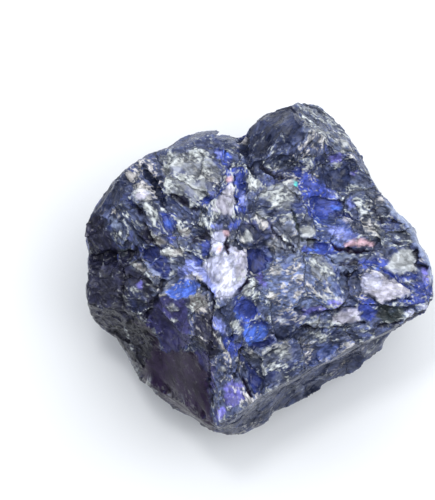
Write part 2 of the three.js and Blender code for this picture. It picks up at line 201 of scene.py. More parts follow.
def surfacePoint(tree, x, y, height):
    return tree.ray_cast(Vector((x, y, height)), Vector((0, 0, -1)))[0]


def randomOn(mesh, count, rng):
    areas = np.empty(len(mesh.polygons))
    mesh.polygons.foreach_get("area", areas)
    centres = np.empty(len(mesh.polygons) * 3)
    mesh.polygons.foreach_get("center", centres)
    picks = rng.choice(len(areas), size=count, p=areas / areas.sum())
    return centres.reshape(-1, 3)[picks]


def pointField(mesh, field):
    flat = np.empty(len(mesh.vertices) * 3, np.float32)
    mesh.vertices.foreach_get(field, flat)
    return flat.reshape(-1, 3).astype(float)


def wandered(points, size, amount, offset):
    shift = Vector((offset, -offset * 0.7, offset * 1.3))    # uneven, so that no two drifts line up
    drift = [noise.noise_vector(Vector(p) / size + shift) for p in points]
    return points + np.array(drift) * amount


def eased(value, low, high):
    t = np.clip((value - low) / (high - low), 0, 1)
    return t * t * (3 - 2 * t)


def putAttribute(mesh, name, kind, values):
    attribute = mesh.attributes.new(name, kind, "POINT")
    field = {"FLOAT_VECTOR": "vector", "FLOAT_COLOR": "color", "FLOAT": "value"}[kind]
    attribute.data.foreach_set(field, np.ascontiguousarray(values, np.float32).ravel())


def nearestOf(points, places):
    nearest = np.zeros(len(points), int)
    best = np.full(len(points), np.inf)
    for index, place in enumerate(places):
        away = ((points - place) ** 2).sum(1)
        closer = away < best
        best[closer] = away[closer]
        nearest[closer] = index
    return nearest


def layBlocks(mesh, tree, s):
    rng = np.random.default_rng(s["seed"])
    places = [tuple(surfacePoint(tree, x, y, s["skyHeight"])) for x, y, turn in s["top"]]
    turns = [math.radians(turn) for x, y, turn in s["top"]]
    for spot in randomOn(mesh, s["sides"] * 2, rng):
        if spot[2] < s["sidesBelow"] and len(places) < len(s["top"]) + s["sides"]:
            places.append(tuple(spot))
            turns.append(rng.uniform(-s["sideTurn"], s["sideTurn"]))
    points = pointField(mesh, "co")
    nearest = nearestOf(wandered(points, *s["wander"]), np.array(places))
    out = np.zeros_like(points)
    for index, turn in enumerate(turns):
        mine = nearest == index
        along = np.array((math.cos(turn), math.sin(turn), rng.uniform(-s["rise"], s["rise"])))
        along /= np.linalg.norm(along)
        across = np.cross((0, 0, 1.0), along)
        across /= np.linalg.norm(across)
        axes = np.stack((along / s["stretch"], across, np.cross(along, across)), 1)
        out[mine] = points[mine] @ axes + rng.uniform(-s["spread"], s["spread"], 3)
    putAttribute(mesh, "grainPoint", "FLOAT_VECTOR", out)
    return out


# What each kind of patch is: colour, share of it that covers, pale strokes (painted glints, partly frosted
# micro-fractures), smoothness, lift in mm.
patchKinds = {
    # the four pale kinds from here to mist: painted reflections of the lights on smooth facets, tinted with
    # the stone's own blue
    "pearl": ((0.34, 0.35, 0.485), 0.95, 0.4, 0.65, 0.12),
    "whiteReflection": ((0.68, 0.68, 0.8), 0.75, 0.3, 0.7, 0.0),
    "blush": ((0.285, 0.275, 0.335), 0.92, 0.42, 0.6, 0.1),
    "mist": ((0.29, 0.305, 0.315), 0.92, 0.45, 0.6, 0.1),
    "iris": ((0.19, 0.225, 0.55), 0.82, 0.4, 0.5, 0.03),
    # silver and the warm grey kind after it: grey-white painted glints over the dark stone, partly frosted
    # micro-fractures
    "silver": ((0.13, 0.14, 0.165), 0.85, 0.95, 0.3, 0.1),
    "warmGreyGlint": ((0.17, 0.16, 0.155), 0.85, 0.8, 0.35, 0.12),
    "hatch": ((0.053, 0.064, 0.104), 0.78, 0.7, 0.1, 0.0),
    "haze": ((0.09, 0.116, 0.22), 0.8, 0.75, 0.15, 0.0),
    "cobalt": ((0.062, 0.132, 0.55), 0.86, 0.45, 0.5, -0.03),
    "royal": ((0.034, 0.058, 0.325), 0.74, 0.65, 0.4, -0.1),
    "deep": ((0.018, 0.027, 0.13), 0.92, 0.25, 0.4, -0.2),
    "violet": ((0.14, 0.13, 0.44), 0.85, 0.4, 0.5, 0.0),
    "plum": ((0.03, 0.027, 0.10), 0.9, 0.15, 0.6, -0.05),
    # the three near-black kinds from here to gloom: painted shade on faces turned from the light and in
    # creases; gloom is also a random dark tone on the sides
    "night": ((0.012, 0.0055, 0.024), 1.0, 0.0, 1.0, 0.0),
    "cleaveShade": ((0.013, 0.014, 0.024), 0.9, 0.1, 0.25, 0.0),
    "gloom": ((0.012, 0.012, 0.028), 0.95, 0.12, 0.4, -0.05),
    "navy": ((0.015, 0.02, 0.049), 0.9, 0.15, 0.5, -0.12),
    "pit": ((0.018, 0.025, 0.066), 0.95, 0.15, 0.6, -0.03),
    "slate": ((0.046, 0.057, 0.115), 0.8, 0.3, 0.6, 0.0),
    # rim: painted shade of the steep sides
    "rim": ((0.02, 0.027, 0.068), 0.45, 0.3, 0.35, 0.0),
    # band: painted shade of the front side face, carried up to its edge line
    "band": ((0.03, 0.038, 0.08), 0.95, 0.25, 0.7, 0.0),
    # a painted highlight along the straight front edge
    "bevelHighlight": ((0.13, 0.14, 0.18), 0.75, 0.1, 0.7, 0.0),
    "fog": ((0.16, 0.19, 0.29), 0.9, 0.15, 0.8, 0.0),
    "olive": ((0.028, 0.036, 0.036), 0.9, 0.3, 0.4, -0.05),
    "rose": ((0.52, 0.33, 0.37), 0.75, 0.1, 0.6, 0.05),
    "amber": ((0.80, 0.42, 0.26), 0.75, 0.0, 0.6, 0.0),
    "teal": ((0.08, 0.5, 0.46), 0.9, 0.0, 0.6, 0.0),
}
crispKinds = ("pearl", "mist", "rose", "amber", "teal")

# The patches of the broad face, the wide ones first: kind, then the corners x, y. Their pale kinds are
# painted reflections and glints, their near-black kinds painted shade.
patchOutlines = [
    # painted shade of the front side face
    ("band", (-4.1, -15.9, 0, -12.9, 4, -10.5, 6, -9.3, 10, -7.2, 13.8, -5.4, 13.4, -7.2, 12.4, -9.6,
        7, -12.4, 3.8, -15, 0.8, -18, -4, -18.8)),
    ("slate", (4.4, -10.5, 7.5, -9.3, 8.4, -9.2, 8.2, -10.5, 5.2, -11.8)),
    # painted shade over the left lobe and front left, which turn away from the light
    ("gloom", (-18, 6, -15.6, 5, -14.2, 2.2, -12, 1.6, -11, -1, -10.2, -3, -11, -6, -13, -8, -18, -7)),
    ("gloom", (-18, 9, -15, 9.5, -14.8, 7, -16, 4.5, -18, 4)),
    ("navy", (-16.6, 7.2, -15, 9.6, -13.4, 10.2, -12.8, 9, -13.4, 7.6, -14.4, 6.4, -15.6, 5.6, -17, 5)),
    # painted shade: the smooth cleave face turned away from the light, then its upper left
    ("night", (-14.5, -5.6, -12.5, -5.2, -10.8, -5.8, -9.9, -7.2, -9.8, -8.2, -7.2, -8, -6.4, -8.3,
        -5.2, -10.2, -4.9, -12.8, -4.4, -16.8, -9, -17, -15, -11)),
    ("cleaveShade", (-14.9, -5.6, -12.6, -5.3, -11, -6, -10.4, -7.2, -10.9, -8.6, -12, -10.6, -13, -12.4,
        -14.4, -10.4)),
    ("navy", (-2, 13.3, -0.9, 14.8, 0.6, 16, 3.1, 16.5, 4.2, 16.2, 4.3, 14.6, 4.4, 12.9, 2.9, 12.4,
        1.2, 12.2, 0.4, 10.8, -0.6, 10.1, -1.3, 10.2, -1.6, 12)),
    ("hatch", (3.8, 16.4, 6.2, 16.6, 8.2, 14.8, 9.6, 12.2, 9.6, 11.5, 8, 11.6, 6.4, 12.6, 5.2, 12.2,
        4.4, 13, 4.5, 14.6)),
    ("silver", (-9.8, 11.2, -6, 12.4, -4.4, 10.6, -3.6, 9, -5.2, 7.2, -6.2, 6, -8, 6.4, -9.4, 8.4)),
    ("hatch", (0.2, 10.6, 2.4, 10.9, 4.4, 12, 5.6, 12, 5.4, 10.6, 3.4, 10, 1.4, 9.8)),
    ("haze", (0.4, 1.6, 4.2, 1.8, 7.6, 1, 8.6, -1.4, 8.2, -3.4, 6.4, -4.6, 3.4, -4.8, 1, -4.4, -0.2, -2.8,
        0.4, -0.8)),
    ("hatch", (8.6, 8.8, 11, 8.6, 12.4, 7, 15.4, 3.6, 15.2, 2.2, 12, 2.4, 9.8, 4.8, 9.6, 7.2)),
    ("hatch", (3.8, -4.6, 7, -4.6, 10, -5.4, 6.4, -7.4, 3.8, -7.2)),
    ("hatch", (-6, 5.8, -4.6, 6.4, -4, 5.4, -4.6, 4.4, -6.1, 4.2)),
    ("slate", (-10.6, 12.4, -6, 14.4, -2.2, 13.8, -2.6, 12.4, -5, 12.2, -7.2, 11.6, -9.4, 11.4)),
    ("plum", (-10.2, -3, -9, -2.6, -7.2, -3.2, -7, -4.8, -6.9, -7.4, -8, -8, -9.7, -8.2, -9.9, -6.4,
        -11.2, -5.6, -10.6, -4.4)),
    ("plum", (-6.5, -8.2, -5.2, -8, -4.4, -9.8, -4.6, -12.4, -5, -12.2, -5.2, -10.2)),
    ("slate", (1, -4.6, 3.6, -4.2, 5.6, -4.6, 3.8, -5.2, 2.6, -5.8, 1.2, -6.2)),
    ("navy", (1.4, -6.3, 2.2, -5.6, 3.8, -5.8, 4.6, -6.4, 3.4, -7, 1.8, -6.9)),
    ("royal", (3.2, 9.7, 4.4, 10, 5, 9.2, 6.2, 9.1, 7.9, 7.6, 8, 6.2, 6.4, 5, 5.2, 5.2, 4.5, 6.6, 3.8, 8,
        4, 8.9)),
    ("slate", (10, 1.4, 13.6, 1.6, 13, 0.8, 12.2, -0.2, 10.4, -0.2)),
    ("royal", (15.6, -1.2, 17.2, -1, 17.1, -2.8, 16.4, -3.4, 14.4, -3.5, 14, -3, 15.4, -2.5)),
    ("olive", (12, -3.6, 14.2, -3.5, 14.5, -4.9, 12.4, -5.4, 11.8, -4.5)),
    ("fog", (12.4, 7.2, 14.4, 6.2, 16.2, 4.4, 17.6, 1.6, 18, -1.6, 16.9, -1.4, 16.7, 0.4, 15.6, 2.2,
        15, 3.8, 13.4, 5.4)),
    # back left lobe
    ("silver", (-9.2, 11, -8.2, 11.3, -7.2, 10.9, -6.2, 10.4, -6, 9.6, -7, 9.3, -8, 9.2, -9.2, 9.6)),
    ("mist", (-8.9, 10.8, -8.3, 11, -7.5, 10.5, -7.9, 9.5, -8.6, 9.4, -8.7, 10.2)),
    ("mist", (-7.9, 8.7, -6.8, 8.8, -5.4, 8.9, -5.1, 8.4, -6, 7.4, -6.3, 6.6, -6.7, 6.6, -7, 7.6,
        -7.7, 8.3)),
    ("silver", (-12.6, 8.4, -11.6, 8.5, -10.8, 7.7, -10.9, 6.9, -10.4, 6, -10.1, 4.8, -10.1, 4.2,
        -10.6, 4.2, -11.3, 5.6, -11.6, 6.9, -12.5, 7)),
    ("blush", (-12.2, 7.9, -11.5, 8, -11.1, 7.4, -11.5, 6.9, -12.1, 7.1)),
    ("silver", (-13.2, 9.4, -12.2, 9.9, -11.6, 9.3, -12.1, 8.8, -12.9, 8.8)),
    ("fog", (-14.9, 5.4, -14.4, 5.2, -13.8, 4.4, -14.1, 3.9, -14.8, 4.3)),
    ("warmGreyGlint", (-10.7, 3.7, -10, 3.5, -9.3, 2.7, -9.6, 2.4, -10.3, 2.7, -10.9, 3.2)),
    ("warmGreyGlint", (-7.9, 4, -7.1, 4.2, -6.7, 3.7, -7.1, 3.1, -7.7, 3.3)),
    ("warmGreyGlint", (-9.8, 2, -9, 2.2, -8.4, 1.9, -8, 2.3, -7.3, 2, -7.4, 1.6, -8.4, 1.3, -9.4, 1.3)),
    ("hatch", (-14.6, 3.8, -13.4, 3.9, -12.3, 3.2, -12.4, 2.4, -14.2, 2.4)),
    ("olive", (-13.9, 2.1, -12.3, 2.1, -12, 1.7, -13, 1.2, -13.9, 1.5)),
    ("navy", (-11.7, 10, -11.1, 10, -10, 8.2, -9.5, 7.4, -9, 6.4, -9.5, 6.2, -10.2, 7.2, -10.8, 8.6)),
    ("royal", (-10, 7.8, -9.6, 7.8, -9.4, 7.3, -9.8, 7.2)),
    ("royal", (-9.9, 5.6, -9.2, 5.8, -8.4, 5.3, -8.3, 4.2, -8.8, 3.9, -9.3, 4.5)),
    ("cobalt", (-9.4, 5.1, -8.9, 5.1, -8.7, 4.4, -9.1, 4.2)),
    ("royal", (-9.2, 3.4, -8.4, 3.5, -8.4, 2.8, -8.9, 2.5)),
    ("iris", (-13, 3.3, -12.4, 3.3, -12.5, 2.8, -12.9, 2.8)),
    ("gloom", (-12, 4, -11, 3.9, -10.2, 2.4, -11.6, 2.5)),
    ("deep", (-11.7, 2, -10.4, 2.1, -9.7, 1.4, -9, 0.6, -8.6, -0.2, -9.3, -0.8, -10.2, -0.3, -10.7, 0.6,
        -11.4, 1.2)),
    ("royal", (-11.8, 2.2, -11.3, 2.2, -11.3, 1.7, -11.7, 1.6)),
    ("gloom", (-8.4, 7.6, -7.2, 7.2, -6.9, 6.2, -8.2, 6.6)),
    ("gloom", (-6.9, 3.2, -5.2, 4, -4.8, 3.9, -4.9, 2.6, -5.6, 2.4, -6.6, 2.6)),
    # blue vein from the notch down
    ("royal", (-4.4, 11.9, -3.6, 12.1, -2.9, 11.7, -2.7, 11, -3, 10.2, -3.5, 10.2, -3.6, 11, -4.2, 11.2)),
    ("iris", (-4.3, 11.7, -3.8, 11.8, -3.7, 11.3, -4.1, 11.2)),
    ("cobalt", (-3.5, 11.9, -3, 11.8, -2.9, 11.1, -3.3, 11.1)),
    ("royal", (-3.5, 10.2, -2.9, 10, -2.2, 10.2, -1.3, 10.3, -1.2, 9.4, -2, 8.9, -3, 9.2, -3.6, 9.5)),
    ("royal", (-2.4, 9.1, -1.6, 9.1, -1.5, 8, -1.9, 7, -1.1, 6.1, -1.2, 5.6, -2.3, 5.6, -2.4, 7)),
    ("iris", (-1.9, 7.9, -1.4, 7.8, -1.2, 6.6, -1.7, 6.2, -1.9, 7)),
    ("rose", (-3.3, 9.1, -2.6, 9.3, -2.5, 8.8, -3.2, 8.6)),
    ("blush", (-2.5, 8.5, -3, 8.4, -3.6, 7.6, -4.3, 6.9, -4.6, 6, -3.9, 5.6, -3, 5.2, -2.4, 5.4,
        -2.4, 6.5)),
    ("iris", (-5, 7.7, -4.4, 7.8, -4.3, 7.4, -4.9, 7.2)),
    ("royal", (-6.1, 7, -5.1, 7.2, -4.9, 6.8, -5.8, 6.4)),
    ("royal", (-3, 4.7, -2.2, 5.1, -1.7, 4.9, -2.1, 4.2, -2.8, 4)),
    ("iris", (-4.8, 4.5, -3.8, 4.4, -3.8, 4, -4.7, 4)),
    # centre
    ("navy", (-2.6, 3.6, -2.1, 4.3, -1.4, 4.6, -0.4, 4.2, 0.6, 3.9, 1.4, 3.8, 1.2, 2.6, 0.2, 2, -1, 2.1,
        -2.3, 2.4)),
    ("mist", (-1.3, 4.1, -0.9, 3.6, -0.5, 2.9, -1.1, 2.5, -1.8, 2.7, -2, 3, -1.6, 3.4)),
    ("silver", (-0.8, 5.1, 0, 5.9, 0.8, 5.4, 1, 4.5, 0.6, 3.9, 0.2, 4.2, -0.2, 4.6)),
    ("pearl", (-4.7, 3.4, -4.2, 3.9, -3.5, 4, -3.3, 3.2, -3.5, 2, -4, 1.5, -4.6, 1.9, -4.8, 2.6)),
    ("rose", (-3.7, 4, -3, 4, -3, 3.4, -3.5, 3.3)),
    ("amber", (-4.1, 2.4, -3.7, 2.3, -3.7, 1.9, -4.1, 1.8)),
    ("gloom", (-3.3, 3.3, -3, 3.2, -2.9, 1.8, -3.2, 1.4, -3.4, 2)),
    # the centre window: painted reflections of the light, whitest at its core
    ("pearl", (-4.6, 1.2, -3.6, 1.6, -2.9, 2.4, -2.4, 2.3, -1.5, 1.9, -1.15, 1.4, -1.1, 0.2, -1.3, -0.8,
        -1.9, -1.7, -2.6, -2.6, -3.4, -2.9, -4.1, -2.9, -4.4, -2, -5.2, -1.4, -6.1, -0.5, -6.3, 0.2,
        -5.6, 0.3, -5.2, 1)),
    ("blush", (-2.6, 2.2, -1.5, 1.9, -1.15, 1.4, -1.1, 0.2, -1.4, -0.8, -2.2, -1.2, -2.3, 0.4)),
    ("iris", (-6.3, 0.2, -5.6, 0.3, -5, -0.6, -4.4, -1.6, -4.3, -2.8, -4.6, -2.4, -5.2, -1.4, -6.1, -0.5)),
    ("whiteReflection", (-4, 0.5, -3.1, 0.9, -2.5, 0.3, -2.7, -1.2, -3.1, -2.4, -3.8, -2, -3.7, -0.9)),
    ("royal", (-6.4, 1.2, -5.6, 1.2, -5.4, 0.7, -6.2, 0.4)),
    ("royal", (-5.8, 2.6, -5, 2.9, -4.9, 1.6, -5.6, 1.4)),
    ("deep", (-1, 1.9, 0, 1.9, 1.4, 1, 0.4, 0, -0.4, -0.3, -1, 0.1)),
    ("silver", (-0.9, -0.5, -0.4, -0.4, -0.1, -1.1, -0.5, -2, -1, -2.5, -1.7, -2.6, -1.6, -1.9,
        -1.2, -1.3)),
    ("violet", (-0.3, -0.4, 0.3, -0.6, 0.8, -1.6, 0.4, -1.8, 0, -1.1)),
    ("silver", (1.2, 0.4, 2.2, 0.7, 2.4, -0.3, 1.6, -0.9, 0.8, -0.6)),
    ("silver", (0.9, -2.1, 1.4, -2, 1.7, -2.6, 1.5, -3.2, 0.9, -2.9)),
    ("silver", (1, 3, 1.8, 3, 2.2, 2.2, 1.4, 1.9, 0.8, 2.3)),
    ("mist", (4.1, 4, 4.9, 4.2, 5.6, 3.8, 5.2, 3.2, 4.3, 3.3)),
    ("silver", (5, 1.2, 6.1, 1.7, 6.6, 1, 7.3, 0.4, 7.3, -0.4, 6.5, -1.2, 5.6, -0.9, 5, 0.2)),
    ("silver", (0.1, 8.2, 2, 8.6, 3.4, 8.8, 3.6, 7.6, 3.2, 6.2, 1.8, 5.9, 1, 6.6, 0.2, 7.2)),
    ("silver", (-1.3, 9, -0.3, 9.2, 0.4, 8.4, -0.2, 7.8, -1.2, 8.2)),
    ("teal", (3.4, 8.7, 3.7, 8.6, 3.8, 8.3, 3.5, 8.3)),
    # left lobe and front left
    ("hatch", (-12.9, 0.9, -12.2, 1.2, -11.2, 0.2, -11.6, -0.4, -12.6, 0.2)),
    ("warmGreyGlint", (-12.6, 0.8, -12.2, 0.8, -11.4, 0, -11.6, -0.3, -12.2, 0.1)),
    ("rim", (-13, -1, -12.2, -1.8, -11.4, -2.2, -11.3, -3.6, -11.6, -4.1, -12.8, -4.2, -13.2, -2.6)),
    ("violet", (-12, -1.2, -11.6, -1.3, -11.6, -1.8, -12, -1.7)),
    ("cobalt", (-9.4, -2.1, -8.4, -1.3, -7.6, -0.9, -6.4, -1, -6, -1.5, -6.2, -2.2, -7.2, -2.6, -8, -3.1,
        -8.8, -2.7)),
    ("iris", (-7.9, 0.2, -7.2, 0.9, -6.3, 0.9, -6.3, -1, -7.6, -0.9, -8.2, -0.4)),
    ("pearl", (-7.2, -0.6, -6.5, -0.3, -6.3, -1, -7.4, -1)),
    ("warmGreyGlint", (-6.9, -2.6, -6, -2.3, -5.3, -2.7, -5, -3.4, -5.3, -4.3, -6, -4.1, -6.4, -4.3, -7, -3.4)),
    ("silver", (-9.2, -3.5, -8.4, -3.4, -8, -4.2, -8.8, -4.2)),
    ("silver", (-8.6, -4.8, -8, -5.2, -8.2, -5.4, -8.8, -5)),
    ("gloom", (-6.4, -4.4, -5.2, -4.4, -4.8, -3.6, -4.6, -5, -4, -6.4, -4.2, -9, -5.4, -8.2, -6.6, -7)),
    ("iris", (-4.8, -4.6, -4.1, -4.8, -3.2, -5.4, -3.4, -6.4, -4.4, -5.9)),
    ("slate", (-4, -3.6, -2.6, -3.4, -2.2, -4.8, -2.9, -5.6, -4, -4.8)),
    ("silver", (-2.8, -5.3, -2, -5, -1.6, -6.2, -2, -6.7, -2.6, -6.4)),
    ("royal", (-3.4, -6.4, -2.6, -6.8, -2.2, -7.4, -1.4, -7.3, -1.5, -8.1, -2.9, -8.6, -3.3, -7.7)),
    ("warmGreyGlint", (-4.3, -6.9, -3.8, -6.6, -3.3, -7.9, -3.6, -8.1)),
    ("mist", (-3.8, -9.6, -3.4, -9.7, -3.4, -10.1, -3.8, -10)),
    ("violet", (-3.5, -11.6, -2.6, -11.1, -1.9, -11.2, -1.5, -12.6, -2, -13.2, -2.8, -13.7, -3.3, -13)),
    ("violet", (-4.2, -13.7, -3.3, -13.8, -3.4, -14.7, -4, -14.9)),
    # front
    ("cobalt", (-2.4, -4.2, -1.2, -4.6, -1.1, -5.1, -1.9, -5.3)),
    ("royal", (-2.4, -2.8, -1, -2.9, -0.2, -3.8, 0.2, -4.9, 1, -5.3, -1.6, -5.7, -2.2, -4.2)),
    ("cobalt", (-1.6, -5.7, 0.8, -5.3, 0.9, -6.6, 0, -7.2, -1.1, -7.5, -1.4, -6.8)),
    ("deep", (-1.2, -7.6, 1, -6.9, 1.6, -7, 0.6, -7.6, -0.8, -8)),
    ("deep", (-1.2, -9.1, -0.4, -9.8, 0.2, -11.4, -0.2, -12.2, -0.9, -11.2)),
    ("silver", (1.6, -7.4, 2.8, -7.2, 3.6, -8, 3.2, -8.9, 2, -8.9, 1.4, -8.2)),
    ("silver", (-1, -7.9, -0.2, -8.1, 0.3, -8.9, -0.8, -9)),
    ("mist", (0.1, -9.3, 0.4, -9.3, 0.8, -10.5, 0.5, -10.6)),
    ("mist", (1.7, -4.7, 2.6, -4.8, 2.7, -5.2, 2, -5.2)),
    ("silver", (4.8, -5.3, 6, -4.6, 6.8, -5, 5.6, -5.6)),
    ("silver", (5.6, -6.2, 6.8, -6.2, 6.4, -7, 5.2, -6.7)),
    ("violet", (4.2, -3.8, 5.6, -3.6, 7, -3.9, 6, -4.4, 4.4, -4.4)),
    ("violet", (6.9, -3, 8.4, -3.2, 8.2, -3.6, 7.2, -3.6)),
    ("pearl", (7.8, -2.8, 8.2, -2.8, 8.2, -3.2, 7.8, -3.2)),
    ("blush", (7.3, -4.6, 8.4, -4, 9.9, -3.6, 10, -4.8, 9.3, -5.2, 8, -5.6, 7.3, -5.3)),
    # right side
    ("violet", (6.9, 11.5, 8.2, 11.5, 8.2, 10.7, 7.1, 10.6)),
    ("mist", (7.2, 10.5, 8.3, 10.7, 7.8, 10.2)),
    ("pit", (5.9, 10.1, 6.8, 9.9, 8.7, 10.3, 9.2, 9.3, 8.3, 8.2, 6.8, 8.1, 6, 8.6)),
    ("violet", (9.2, 9.9, 9.8, 9.7, 9.6, 9.3, 9.2, 9.4)),
    ("silver", (6.1, 13.9, 6.9, 13.7, 6.7, 13, 6.1, 13.1)),
    ("mist", (8.1, 12.9, 9, 12.8, 8.8, 12.2, 8.2, 12.1)),
    ("mist", (8.1, 11.95, 8.7, 11.9, 8.6, 11.5, 8.2, 11.6)),
    ("cobalt", (5.3, 5.4, 6.2, 5.4, 6.1, 4.8, 5.6, 4.8)),
    ("iris", (8.8, 6.9, 9.5, 7, 9.5, 6.2, 8.9, 6.1)),
    ("cobalt", (7.2, 6.5, 8.2, 6.3, 8, 5.8, 7.3, 5.9)),
    ("deep", (7.4, 5.8, 8.9, 5.7, 9.4, 5.3, 7.6, 5.3)),
    ("iris", (6.8, 8, 7.8, 7.8, 7.6, 7.3, 6.9, 7.4)),
    ("mist", (9.9, 5.9, 10.7, 5.9, 10.8, 5.5, 10.1, 5.3)),
    ("blush", (8.3, 5.3, 9.2, 5.2, 9, 4.6, 8.6, 4.5)),
    ("silver", (10, 4.6, 12.2, 4.4, 11.8, 3.4, 10.4, 3.6)),
    ("iris", (7, 4.4, 8, 4.2, 9.3, 3.4, 9.9, 2.9, 9.2, 2.6, 8, 3, 7, 3.5)),
    ("rose", (9.2, 3, 10.5, 3.1, 11.5, 2.6, 11.3, 2.4, 9.5, 2.4, 8.4, 2.1, 8.4, 2.4)),
    ("gloom", (8.2, 2, 10, 1.95, 11.8, 2.1, 11.9, 1.8, 10, 1.6, 8.2, 1.6)),
    ("royal", (4.2, 2.2, 6, 2.6, 7.2, 2.6, 8.2, 1.9, 7, 1.5, 5.9, 1.6, 4.2, 1.7)),
    ("cobalt", (4.8, 2.2, 5.9, 2.4, 6, 2, 5, 1.8)),
    ("fog", (6.8, 1.6, 9, 1.6, 10, 1.2, 8.8, 0.9, 7.2, 1)),
    ("gloom", (7.6, 0.8, 9.8, 0.9, 9.9, 0.5, 8.2, 0.4)),
    ("fog", (8, 0.3, 9.6, 0, 9.6, -0.2, 8.2, -0.4)),
    ("navy", (8.5, -0.4, 9.7, -0.2, 9.9, -1.4, 9.4, -2, 8.7, -1.4)),
    ("royal", (10, 1, 11.6, 1.1, 13, 0.9, 13.2, 0.5, 12.4, 0.3, 12, -0.3, 11, 0.3, 10.2, 0.1)),
    ("cobalt", (11.3, 0.5, 12.1, 0.4, 12, -0.1, 11.4, 0)),
    ("mist", (13.2, 1.3, 14, 2, 15.3, 1.9, 15.6, 1.2, 15.4, 0.4, 15.9, -0.1, 14.8, -0.2, 14, -0.5,
        13.2, -0.3, 12.5, 0.3, 13, 0.9)),
    ("royal", (12.6, -0.2, 13.4, -0.5, 14.4, -0.7, 15.8, -0.4, 15.8, -0.8, 14.2, -1.1, 13.4, -1)),
    # the right fan: painted reflections of the light, whitest at its core
    ("blush", (10.2, -0.6, 11.4, -0.1, 12.2, -0.3, 13, -0.9, 14, -1.3, 15, -2, 14.6, -2.4, 13.4, -2.9,
        12.6, -3.2, 12, -3.4, 11.3, -2.9, 10.9, -2.5, 10.2, -2.3, 10.1, -1.4)),
    ("pearl", (10.2, -0.6, 11.4, -0.1, 12.2, -0.4, 12, -1.6, 11, -2, 10.2, -2.2, 10.1, -1.4)),
    ("whiteReflection", (10.5, -0.9, 11.3, -0.5, 11.9, -0.8, 11.6, -1.4, 10.8, -1.5)),
    ("mist", (14.4, -0.9, 15.4, -1, 14.9, -1.3, 14.4, -1.2)),
    ("pearl", (14.6, -4.2, 15.2, -4, 15.5, -4.3, 15.1, -4.8, 14.7, -4.7)),
    ("pearl", (15.9, -3.6, 16.7, -3.3, 16.6, -3.7, 16.1, -3.9)),
    ("violet", (16.2, 0, 16.8, 0, 16.7, -1, 16.3, -1)),
    ("royal", (10, -2.6, 11, -2.7, 11.6, -3.4, 11.7, -4.4, 11, -5, 10.2, -4.6, 10, -3.6)),
]
